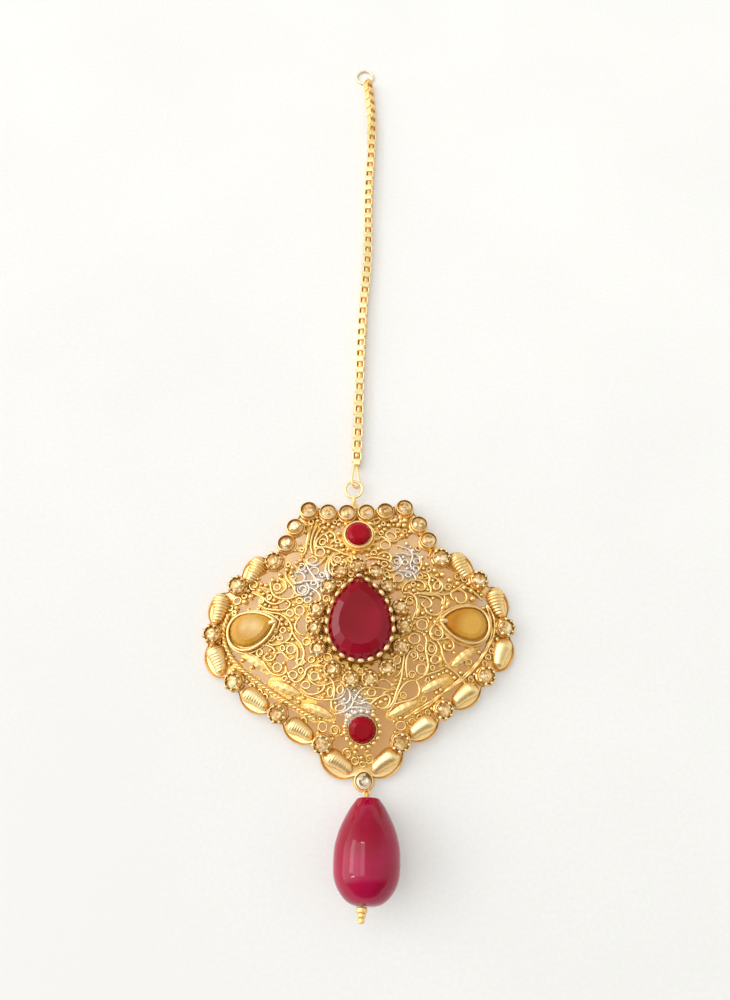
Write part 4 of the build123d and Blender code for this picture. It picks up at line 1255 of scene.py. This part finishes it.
class TIKKA_OT_bezels(bpy.types.Operator):
    """Makes the walls, beads and wires that hold the large stones"""
    bl_idname = "tikka.bezels"
    bl_label = "Bezels"

    def execute(self, context):
        sizes = context.scene.tikka_wires
        self.centre(sizes.prong / MM)
        self.ambers()
        self.rounds()
        return {"FINISHED"}

    def centre(self, prong):
        """A low wall with long beads laid over the stone's edge, each on its own claw."""
        place, width, long, rim = pear_place("centre_stone")
        work = Work()
        line = pear_line(width, long, STONE_PLAY)
        wall_along(work, line, place, CUP_FOOT - rim, -0.75, BEZEL_WALL)
        wall_along(work, pear_line(width, long, -0.75), place, -1.3, -0.62, 0.85)
        rows = []
        for grow, spacing in ((0.12, 0.05), (0.6, 0.05)):
            line = pear_line(width, long, grow, spacing)
            line = np.vstack([line, line[:1]])
            rows.append(even(line, np.linalg.norm(np.diff(line, axis=0), axis=1).sum() / BEADS))
        stops, feet = rows
        beads = Work()
        random = np.random.default_rng(BEAD_SEED)
        previous = np.roll(stops[:-1], 1, 0)
        for before, here, after, foot in zip(previous, stops[:-1], stops[1:], feet):
            heading = unit(after - before)
            east, north = heading
            axes = np.array(((east, -north, 0), (north, east, 0), (0, 0, 1.0)))
            size = np.array((prong, *BEAD_THICK)) * (0.9 + 0.2 * random.random())
            points, faces = grain(size, 12, 7)
            beads.add((put(points, (axes, np.array((*here, 0.2)))), faces), place)
            stem = [(*foot, -1.9), (*(0.6 * foot + 0.4 * here), -1.0),
                    (*(0.15 * foot + 0.85 * here), 0.05)]
            work.add(tube(stem, (0.36, 0.28, 0.24), 8, up=(1, 0, 0)), place)
        # The walls and claws take the recess finish, painted dark as shade.
        work.make("centre_bezel", "recess")
        beads.make("centre_beads", "beads")

    def ambers(self):
        """A plain wall under a thick round wire."""
        work = Work()
        for node in ("right_amber_stone", "left_amber_stone"):
            place, width, long, rim = pear_place(node)
            line = pear_line(width, long, STONE_PLAY)
            wall_along(work, line, place, CUP_FOOT - rim, -0.05, BEZEL_WALL)
            wall_along(work, pear_line(width, long, -0.6), place, -1.1, -0.6, 0.7)
            for grow, height, wire, sides in zip((0.24, 0.62), (0.0, -1.0), AMBER_WIRES, (10, 8)):
                path = pear_line(width, long, grow, 0.25)
                path = np.column_stack([path, np.full(len(path), height)])
                work.add(tube(path, wire, sides, closed=True), place)
            points, faces = grain(AMBER_TIP, 12, 7)
            work.add((points + (long / 2 - 0.25, 0, 0.1), faces), place)
        work.make("amber_bezels", "border")

    def rounds(self):
        """A smooth tube for the top stone; for the bottom one, a tube with a ring of grains."""
        work = Work()
        outline = circle(1.0, 48)[:, :2]
        for node, (thick, step, ledge, grains) in ROUNDS.items():
            place = seat(*plan_of(node), ROUND_RIM)
            foot = CUP_FOOT - ROUND_RIM
            wall_along(work, outline * (ROUND_RADIUS - 0.5), place, -1.1, -0.6, 0.6)
            wall_along(work, outline * (ROUND_RADIUS + 0.05), place, foot, -0.3, thick)
            for k in range(grains):
                turn = TURN * (k + 0.5) / grains
                spot = (COLLAR_RADIUS * math.cos(turn), COLLAR_RADIUS * math.sin(turn), -0.7)
                points, faces = grain(np.full(3, COLLAR_GRAIN))
                work.add((points + spot, faces), place)
            wall_along(work, outline * (ROUND_RADIUS + step), place, foot, -1.0, ledge)
        work.make("round_bezels", "openwork")


# ================================================================ openwork

def around(x, y, line):
    """How far from the middle a closed line lies, in the direction of each point."""
    angle = np.arctan2(line[:, 1], line[:, 0])
    order = np.argsort(angle)
    return np.interp(np.arctan2(y, x), angle[order], np.hypot(*line[order].T), period=TURN)


class Ground:
    """A fine grid over the plate that knows how far each spot is from the nearest metal."""
    REACH = 1.3

    def __init__(self):
        count = round(2 * GRID_HALF / GRID_STEP)
        self.side = -GRID_HALF + GRID_STEP * np.arange(count)
        self.far = np.full((count, count), self.REACH)
        self.metal = self.far.copy()
        self.windows = []

    def stamp(self, x, y, radius, window=False):
        """Marks a round spot as metal, or as a window that nothing else goes into."""
        reach = radius + self.REACH
        corner = np.array((x, y)) + GRID_HALF
        low = np.maximum(np.floor((corner - reach) / GRID_STEP), 0).astype(int)
        high = np.ceil((corner + reach) / GRID_STEP).astype(int)
        spot = slice(low[0], high[0]), slice(low[1], high[1])
        gap = np.hypot(self.side[spot[0], None] - x, self.side[None, spot[1]] - y) - radius
        self.far[spot] = np.minimum(self.far[spot], gap)
        if window:
            self.windows.append((x, y, radius))
        else:
            self.metal[spot] = np.minimum(self.metal[spot], gap)

    def sheet(self, line):
        """The thin sheet behind the wires, inside a closed line, with its windows cut out."""
        side = self.side[::2]
        x, y = np.meshgrid(side, side, indexing="ij")
        openness = np.full(x.shape, -1.0)
        for at_x, at_y, radius in self.windows:
            near = 1.6 * radius - np.hypot(x - at_x, y - at_y)
            near = np.minimum(near, self.metal[::2, ::2] - 0.08)
            openness = np.maximum(openness, near)
        kept = (openness <= 0) & (np.hypot(x, y) < around(x, y, line))
        cells = kept[:-1, :-1] & kept[1:, :-1] & kept[1:, 1:] & kept[:-1, 1:]
        slope = np.stack(np.gradient(openness, side[1] - side[0]), axis=-1)
        steep = (slope**2).sum(-1)
        push = np.where((openness > -0.3) & (steep > 0.2), -openness / np.maximum(steep, 0.2), 0.0)
        flat = np.stack([x, y], axis=-1) + slope * np.clip(push, 0, 0.25)[..., None]
        flat = flat.reshape(-1, 2)
        number = np.arange(x.size).reshape(x.shape)
        corners = [number[:-1, :-1], number[1:, :-1], number[1:, 1:], number[:-1, 1:]]
        top = np.stack([corner[cells] for corner in corners], axis=-1)
        faces = top.tolist() + (top[:, ::-1] + x.size).tolist()
        padded = np.pad(cells, 1)
        beside = (padded[1:-1, :-2], padded[2:, 1:-1], padded[1:-1, 2:], padded[:-2, 1:-1])
        for k, other in enumerate(beside):
            edge = cells & ~other
            a, b = corners[k][edge], corners[(k + 1) % 4][edge]
            faces += np.stack([b, a, a + x.size, b + x.size], axis=-1).tolist()
        points = np.vstack([lift(flat, SHEET_TOP), lift(flat, SHEET_BACK)])
        used = np.unique(np.concatenate([np.ravel(face) for face in faces]))
        fresh = np.zeros(len(points), int)
        fresh[used] = np.arange(len(used))
        return points[used], [tuple(fresh[list(face)]) for face in faces]

    def close_outside(self, line):
        """Takes everything outside a closed line, and the spots on it, as metal."""
        x, y = np.meshgrid(self.side, self.side, indexing="ij")
        outside = np.hypot(x, y) > around(x, y, line)
        self.far[outside] = 0
        self.metal[outside] = 0
        for x, y in line[::2]:
            self.stamp(x, y, BAND_INSIDE)

    def widest(self):
        """The roomiest spot that is left, and its room."""
        across, along = divmod(int(self.far.argmax()), self.far.shape[1])
        return self.side[across], self.side[along], self.far[across, along]


class TIKKA_OT_filigree(bpy.types.Operator):
    """Lays the scrolls, rings and blades of wire, and fills what is left with finer curls"""
    bl_idname = "tikka.filigree"
    bl_label = "Filigree"

    def execute(self, context):
        sizes = context.scene.tikka_wires
        self.wire = sizes.wire / MM
        self.fine = sizes.filling / MM
        self.middle = sizes.wire_height / MM - WIRE_TALL * self.wire
        self.ground = Ground()
        self.ground.close_outside(spine()[0])
        self.scrolls()
        self.rings()
        self.keep_clear()
        self.filling()
        return {"FINISHED"}

    def scrolls(self):
        """Lays the drawn wires and the short blades."""
        work = Work()
        for number, points in enumerate(WIRES):
            line = through(points, 0.2)
            part = np.linspace(0, 1, len(line))
            swell = 0.86 + 0.3 * np.sin(math.pi * part)
            height = self.middle + 0.08 * math.sin(2.4 * number)
            work.add(tube(lift(line, height), self.wire * swell, 8, WIRE_TALL))
            self.mark(line, self.wire)
        for ends in BLADES:
            line = through(ends, 0.15)
            part = np.linspace(0, 1, len(line))
            thick = 0.12 + 0.26 * np.sin(math.pi * part)**0.8
            work.add(tube(lift(line, self.middle + 0.12), thick, 10, 1.4))
            self.mark(line, 0.3)
        work.make("filigree_scrolls", "openwork")

    def rings(self):
        """Lays the closed rings, each with a window in it."""
        work = Work()
        for number, (x, y, long, wide, turn) in enumerate(RINGS):
            line = oval(x, y, long / 2 - self.wire, wide / 2 - self.wire, turn)
            height = self.middle + 0.06 + 0.06 * math.sin(1.7 * number)
            work.add(tube(lift(line, height), self.wire * 0.95, 8, WIRE_TALL, closed=True))
            self.mark(line, self.wire)
            self.ground.stamp(x, y, max(wide / 2 - 2 * self.wire, 0.15), window=True)
        work.make("filigree_rings", "openwork")

    def mark(self, line, radius):
        """Marks the metal along a line."""
        for x, y in line:
            self.ground.stamp(x, y, radius)

    def keep_clear(self):
        """Marks the grains, cups, bezels, leaves and openings, which the filling leaves free."""
        for x, y, radius in GRAINS:
            self.ground.stamp(x, y, radius)
        for x, y, radius in OPENINGS:
            self.ground.stamp(x, y, radius, window=True)
        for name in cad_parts:
            x, y = plan_of(name)
            if name.startswith("halo_stone"):
                self.ground.stamp(x, y, HALO_STONE + CUP_MARGIN)
            elif name.startswith("border_stone"):
                self.ground.stamp(x, y, BORDER_STONE + CUP_MARGIN)
            elif name in ROUNDS:
                self.ground.stamp(x, y, ROUND_RADIUS + ROUND_MARGIN)
            elif name in PEARS:
                place, width, long, _ = pear_place(name)
                for grow in np.arange(-width / 2 + 0.4, 0.7, 0.5):
                    line = pear_line(width, long, min(grow, 0.5), 0.4)
                    flat = put(np.column_stack([line, np.zeros(len(line))]), place)
                    self.mark(flat[:, :2], 0.35)
        for x, y, turn in both_sides(LEAVES):
            angle = math.radians(mirrored_turn(x, turn))
            for along in np.linspace(-0.4, 0.4, 9) * LEAF_LENGTH:
                self.ground.stamp(x + along * math.cos(angle), y + along * math.sin(angle), 0.7)
        self.mark(through(LEFT_ROPE, 0.3), 0.5)
        for points in RIGHT_STRANDS:
            self.mark(through(points, 0.3), 0.25)

    def filling(self):
        """Sets a curl, ring, grain or window in the roomiest gap again and again."""
        work = Work()
        random = np.random.default_rng(FILL_SEED)
        x, y, room = self.ground.widest()
        while room > SMALLEST_GAP:
            size = min(room + 0.05, LARGEST_CURL)
            place = self.middle - 0.16 * random.random()
            start = TURN * random.random()
            kind = random.random()
            small, ringed = size < SMALLEST_CURL, kind < LAST_RING
            if kind < LEFT_OPEN[size > SMALLEST_CURL]:
                self.ground.stamp(x, y, size - 0.05, window=True)
            else:
                if small:
                    work.add(grain(np.full(3, size * 0.85), 8, 3), seat(x, y, place))
                elif ringed:
                    half = size - self.fine
                    line = oval(x, y, half, half * 0.85, math.degrees(start), 20)
                    work.add(tube(lift(line, place), self.fine, 6, WIRE_TALL, closed=True))
                    self.ground.stamp(x, y, size - 2 * self.fine, window=True)
                    self.mark(line, self.fine)
                else:
                    line = curl(x, y, size - self.fine, start, random.choice((-1, 1)))
                    work.add(tube(lift(line, place), self.fine, 6, WIRE_TALL))
                self.ground.stamp(x, y, 0.1 if ringed and not small else size - 0.05)
            x, y, room = self.ground.widest()
        work.make("filigree_filling", "openwork")
        # The thin sheet is partly a backing behind the wires and partly stands for the shade
        # between them; low over the back, its gilding takes the painted shade of deep gold.
        work = Work()
        work.add(self.ground.sheet(spine()[0]))
        work.make("filigree_ground", "ground")


def oval(x, y, a, b, turn, count=26):
    """A closed oval about a spot, turned by degrees."""
    angle = TURN * np.arange(count) / count
    turn = math.radians(turn)
    u, v = a * np.cos(angle), b * np.sin(angle)
    return np.column_stack([x + u * math.cos(turn) - v * math.sin(turn),
                            y + u * math.sin(turn) + v * math.cos(turn)])


def curl(x, y, radius, start, way):
    """A wire that runs round a spot and winds in towards it."""
    part = np.linspace(0, 1, 22)
    angle = start + way * TURN * 1.1 * part
    far = radius * (1 - 0.6 * np.maximum(part - 0.45, 0) / 0.55)
    return np.column_stack([x + far * np.cos(angle), y + far * np.sin(angle)])


class TIKKA_OT_grains(bpy.types.Operator):
    """Sets the grains of the openwork"""
    bl_idname = "tikka.grains"
    bl_label = "Grains"

    def execute(self, context):
        work = Work()
        for x, y, radius in GRAINS:
            work.add(grain((radius, radius, radius * 0.95)), seat(x, y, GRAIN_HEIGHT))
        work.make("grains", "openwork")
        return {"FINISHED"}


# ================================================================ loops, chain and drop

class TIKKA_OT_loops(bpy.types.Operator):
    """Makes the loop and neck at the plate's top and the cup of the drop"""
    bl_idname = "tikka.loops"
    bl_label = "Loop and drop cup"

    def execute(self, context):
        wire = context.scene.tikka_wires.loop_wire / MM
        work = Work()
        middle = np.array((BAIL["x"], BAIL["y"], BAIL["z"]))
        work.add(tube(circle(BAIL["radius"], 56) + middle, wire, 12, closed=True))
        axes = np.array(((1, 0, 0), (0, 0, 1), (0, 1, 0.0)))
        foot = middle + (0, -BAIL["radius"] - NECK_LENGTH, 0.1)
        work.make("bail", "links")
        work = Work()
        work.add(turned(NECK_PROFILE, 20), (axes, foot))
        work.make("bail_neck", "border")
        work = Work()
        x, y, foot, rim, wall = DROP_CUP.values()
        work.add(cup(BORDER_STONE, rim - foot, wall), (np.eye(3), np.array((x, y, rim))))
        eye = (BEAD_TOP[0], y - EYE_REACH, EYE_HEIGHT)
        work.add(tube(circle(EYE_RADIUS, 24) + eye, EYE_WIRE, 8, closed=True))
        work.make("drop_cup", "links")
        return {"FINISHED"}


def strip_loop(long):
    """A link bent from flat strip, its loop in the XZ plane and the strip's width along Y."""
    a, b, half = long / 2 - LINK_CORNER, LINK_LOOP / 2 - LINK_CORNER, LINK_STRIP / 2
    rows = []
    for quarter, (x, z) in enumerate(((a, b), (-a, b), (-a, -b), (a, -b))):
        for step in range(5):
            angle = TURN / 4 * (quarter + step / 4)
            heading = np.array((math.cos(angle), math.sin(angle)))
            outer = heading * LINK_CORNER + (x, z)
            inner = heading * (LINK_CORNER - LINK_THICK) + (x, z)
            section = ((-half + 0.05, outer), (half - 0.05, outer), (half, (outer + inner) / 2),
                       (half - 0.05, inner), (-half + 0.05, inner), (-half, (outer + inner) / 2))
            rows.append([(spot[0], y, spot[1]) for y, spot in section])
    return skin(rows, closed=True)


class TIKKA_OT_chain(bpy.types.Operator):
    """Links the box chain along its route: strip loops, every other one turned on its side"""
    bl_idname = "tikka.chain"
    bl_label = "Box chain"

    def execute(self, context):
        pitch = context.scene.tikka_wires.link_pitch / MM
        line = even(through(CHAIN_ROUTE, 0.5), pitch / 2)
        work = Work()
        for number in range((len(line) + 1) // 2):
            spot = min(2 * number + 1, len(line) - 1)
            ahead = unit(line[spot] - line[spot - 1])
            middle = line[2 * number] - LINK_EXTRA[0] * ahead
            ahead = np.array((*ahead, 0.0))
            side = np.cross((0, 0, 1.0), ahead)
            upright = number % 2
            last = min(max((number - LAST_LINKS[0]) / LAST_LINKS[1], 0), 1)
            roll = math.radians(SWAY * math.sin(number * 0.21) + LAST_TURN * last)
            roll += math.pi / 2 if upright else 0
            across = math.cos(roll) * side + math.sin(roll) * np.array((0, 0, 1.0))
            axes = np.column_stack([ahead, across, np.cross(ahead, across)])
            rests = (LINK_LOOP * abs(axes[2, 1]) + LINK_STRIP * abs(axes[2, 2])) / 2 + 0.02
            place = (axes, np.array((*middle, max(CHAIN_RADIUS, rests))))
            work.add(strip_loop(pitch + LINK_EXTRA[upright]), place)
        work.make("chain_links", "links", "chain", sharp=35.0)
        # The core stands partly for the insides of the links and partly for the shade seen through
        # their gaps; its gilding is painted deeper on its sides.
        work = Work()
        line = through(CHAIN_ROUTE, 1.0)[1:-1]
        work.add(tube(np.column_stack([line, np.full(len(line), CHAIN_RADIUS)]), CORE_RADIUS, 10))
        work.make("chain_core", "core", "chain")
        return {"FINISHED"}


class TIKKA_OT_connector(bpy.types.Operator):
    """Bends the drop-shaped link between the loop and the chain"""
    bl_idname = "tikka.connector"
    bl_label = "Connector link"

    def execute(self, context):
        wire = context.scene.tikka_wires.loop_wire / MM
        left = [(-x, y) for x, y in reversed(LINK_OUTLINE)]
        path = through([LINK_TOP, *LINK_OUTLINE, LINK_BOTTOM, *left], 0.15, closed=True)
        path = np.column_stack([path, np.zeros(len(path))])
        roll = math.radians(LINK["roll"])
        axes = np.array(((math.cos(roll), 0, math.sin(roll)), (0, 1, 0),
                         (-math.sin(roll), 0, math.cos(roll))))
        origin = np.array((LINK["x"], LINK["y"], LINK["z"]))
        work = Work()
        work.add(tube(put(path, (axes, origin)), wire * 0.95, 10, up=axes[:, 2], closed=True))
        work.make("link_wire", "links", "connector_link")
        return {"FINISHED"}


class TIKKA_OT_drop(bpy.types.Operator):
    """Makes the drop bead, drilled a little off its axis"""
    bl_idname = "tikka.drop"
    bl_label = "Drop bead"

    def execute(self, context):
        lean, yaw, skew = (math.radians(value) for value in (BEAD_LEAN, BEAD_YAW, BEAD_SKEW))
        along = np.array((-math.sin(yaw) * math.cos(lean), -math.cos(yaw) * math.cos(lean),
                          math.sin(lean)))
        up = unit(np.array((0, 0, 1.0)) - along * along[2])
        across = np.cross(up, along)
        start = np.array(BEAD_TOP) + BEAD_ASIDE * across
        own = math.cos(skew) * along + math.sin(skew) * across
        axes = np.column_stack([np.cross(up, own), up, own])
        rows = [put(circle(radius, 96) + (0, 0, far), (axes, start))
                for far, radius in through(BEAD_PROFILE, 0.25)]
        drill = np.column_stack([across, up, along])
        for far in (BEAD_PROFILE[-1][0], BEAD_PROFILE[0][0]):
            rows.append(put(circle(BEAD_HOLE, 96) + (0, 0, far), (drill, np.array(BEAD_TOP))))
        work = Work()
        work.add(skin(rows, closed=True))
        work.make("drop_bead_cut", "bead", "drop_bead", 50.0)
        return {"FINISHED"}


STONE_FINISHES = {
    "border_stone": "champagne",
    "halo_stone": "champagne",
    "drop_stone": "smoky",
    "left_amber_stone": "amber",
    "right_amber_stone": "amber",
    "centre_stone": "red",
    "top_stone": "small_red",
    "bottom_stone": "small_red",
    "end_ring": "ring",
    "head_pin": "links",
}


class TIKKA_OT_stones(bpy.types.Operator):
    """Gives the cut stones, the end ring and the pin their finishes"""
    bl_idname = "tikka.stones"
    bl_label = "Stones and pin"

    def execute(self, context):
        for name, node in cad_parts.items():
            look = STONE_FINISHES.get(name.rstrip("_0123456789"))
            if look is None:
                continue
            node.data.materials.clear()
            node.data.materials.append(finish(look))
        return {"FINISHED"}


# ================================================================ stage

# The cloth glows by itself for camera, glossy and transmission rays; under the openwork that glow
# is painted warm bounce light.
FLOOR_GLOW = 0.35        # how much of the cloth's white the camera sees without any shadow
UNDER_GLOW = 1.45        # and how much brighter that is under the openwork
GLOW_MIDDLE = (0.0, -1.0, 0.0)   # from the middle of the plate
GLOW_HALF = (22.0, 21.5)
LAMPS = (
    # name,        x,     y,    z,  width, height, share of the key's power, tint
    ("panel", -0.295, 0.105, 0.6, 0.48, 0.64, 0.87, (1.0, 0.92, 1.0)),
    ("strip", -0.15, 0.105, 0.6, 0.14, 0.56, 0.22, (1.0, 0.93, 1.0)),
    ("side", -0.72, 0.25, 0.54, 0.22, 0.75, 1.3, (1.0, 0.93, 0.97)),
    ("upper_spot", -0.19, 0.4, 0.6, 0.17, 0.03, 0.15, (1.0, 0.97, 1.0)),
    ("lower_spot", -0.665, -0.28, 0.6, 0.18, 0.035, 0.21, (1.0, 0.97, 1.0)),
)
CAMERA_PLACE = (0.51, -20.53, 123.32)    # from the middle of the plate
CAMERA_TILT = 18.6
CAMERA_TURN = -1.26
FLOOR_HALF = 1.5
SKY_WHITE = (0.985, 0.995, 1.0, 1.0)
SKY_WARM = (1.0, 0.86, 0.7, 1.0)         # where it is dim
SKY_RANGE = 3.0                          # how bright the ramp's full white is
SKY_STOPS = (
    # from the far left to the far right: how bright
    (0.0, 2.4), (0.15, 1.6), (0.33, 1.05), (0.5, 0.95), (0.8, 0.8), (1.0, 0.85),
)


class TIKKA_OT_stage(bpy.types.Operator):
    """Sets the camera, the soft light and the white cloth"""
    bl_idname = "tikka.stage"
    bl_label = "Stage"

    def execute(self, context):
        look = context.scene.tikka_stage
        self.camera(context, look.lens)
        self.sky(context, look.sky)
        self.lights(context, look.key_power)
        self.floor(context, look)
        context.scene.view_settings.view_transform = "Standard"
        return {"FINISHED"}

    def camera(self, context, lens):
        """Looks down on the piece from its lower side."""
        data = bpy.data.cameras.new("camera")
        data.lens = lens
        data.sensor_width = 36.0
        data.clip_start = 0.005
        camera = bpy.data.objects.new("camera", data)
        camera.location = (PLATE_MIDDLE + CAMERA_PLACE) * MM
        camera.rotation_euler = (math.radians(CAMERA_TILT), 0.0, math.radians(CAMERA_TURN))
        context.scene.collection.objects.link(camera)
        context.scene.camera = camera

    def sky(self, context, strength):
        """Bright overhead and on the left, dim and warm above and below, and pale low down."""
        world = bpy.data.worlds.new("sky")
        world.use_nodes = True
        context.scene.world = world
        work = Nodes(world.node_tree)
        where = work.node("ShaderNodeTexCoord", output="Generated")
        x, y, z = work.parts(where, "XYZ")
        ramp = work.tree.nodes.new("ShaderNodeValToRGB")
        stops = ramp.color_ramp.elements
        while len(stops) < len(SKY_STOPS):
            stops.new(0.5)
        for stop, (spot, bright) in zip(stops, SKY_STOPS):
            stop.position = spot
            stop.color = (*[bright / SKY_RANGE] * 3, 1.0)
        work.feed(ramp.inputs[0], work.fit(x, -1.0, 1.0))
        ends = work.times(work.fit(y, 0.3, 0.8, 1.0, 0.5), work.fit(y, -0.28, -0.52, 1.0, 0.2))
        light = work.times(work.times(ramp.outputs[0], SKY_RANGE), ends)
        light = work.times(light, work.fit(z, 0.8, 0.95, 1.0, 0.9))
        light = work.math("MAXIMUM", light, work.fit(z, 0.1, 0.3, 0.88, 0.0))
        background = work.tree.nodes["Background"]
        paint = work.mix(work.fit(light, 0.35, 0.9), SKY_WARM, SKY_WHITE)
        work.feed(background.inputs["Color"], paint)
        work.feed(background.inputs["Strength"], work.times(light, strength))

    def lights(self, context, power):
        """Soft panels on the left, each turned towards the piece."""
        for name, x, y, z, width, height, part, tint in LAMPS:
            data = bpy.data.lights.new(name, "AREA")
            data.shape = "RECTANGLE"
            data.size = width
            data.size_y = height
            data.energy = power * part
            data.color = tint
            lamp = bpy.data.objects.new(name, data)
            lamp.location = (x, y, z)
            lamp.rotation_euler = (0.0, math.atan2(x, z), 0.0)
            context.scene.collection.objects.link(lamp)

    def floor(self, context, look):
        """The cloth, level with the bottom of the CAD model."""
        mesh = bpy.data.meshes.new("floor")
        half, low = FLOOR_HALF, CAD_BOX[0][2]
        corners = [(-half, -half, low), (half, -half, low), (half, half, low), (-half, half, low)]
        mesh.from_pydata(corners, [], [(0, 1, 2, 3)])
        mesh.materials.append(cloth(look))
        floor = bpy.data.objects.new("floor", mesh)
        context.scene.collection.objects.link(floor)


# ================================================================ panel and registration

STEPS = (
    TIKKA_OT_stage, TIKKA_OT_border, TIKKA_OT_shells, TIKKA_OT_leaves, TIKKA_OT_ropes,
    TIKKA_OT_cups, TIKKA_OT_bezels, TIKKA_OT_filigree, TIKKA_OT_grains, TIKKA_OT_loops,
    TIKKA_OT_chain, TIKKA_OT_connector, TIKKA_OT_drop, TIKKA_OT_stones,
)
SETTINGS = {
    "tikka_metal": MetalSettings,
    "tikka_wires": WireSettings,
    "tikka_stones": StoneSettings,
    "tikka_stage": StageSettings,
}


class TIKKA_PT_panel(bpy.types.Panel):
    """Lists the settings and the steps"""
    bl_idname = "TIKKA_PT_panel"
    bl_label = "Maang Tikka"
    bl_space_type = "VIEW_3D"
    bl_region_type = "UI"
    bl_category = "Maang Tikka"

    def draw(self, context):
        for key, group in SETTINGS.items():
            box = self.layout.box()
            values = getattr(context.scene, key)
            for name in group.__annotations__:
                box.prop(values, name)
        for step in STEPS:
            self.layout.operator(step.bl_idname)


def register():
    for item in (*SETTINGS.values(), *STEPS, TIKKA_PT_panel):
        bpy.utils.register_class(item)
    for key, group in SETTINGS.items():
        setattr(bpy.types.Scene, key, PointerProperty(type=group))


def unregister():
    for key in SETTINGS:
        delattr(bpy.types.Scene, key)
    for item in reversed((*SETTINGS.values(), *STEPS, TIKKA_PT_panel)):
        bpy.utils.unregister_class(item)


def main():
    register()
    for step in STEPS:
        group, name = step.bl_idname.split(".")
        getattr(getattr(bpy.ops, group), name)()


if __name__ == "__main__":
    main()
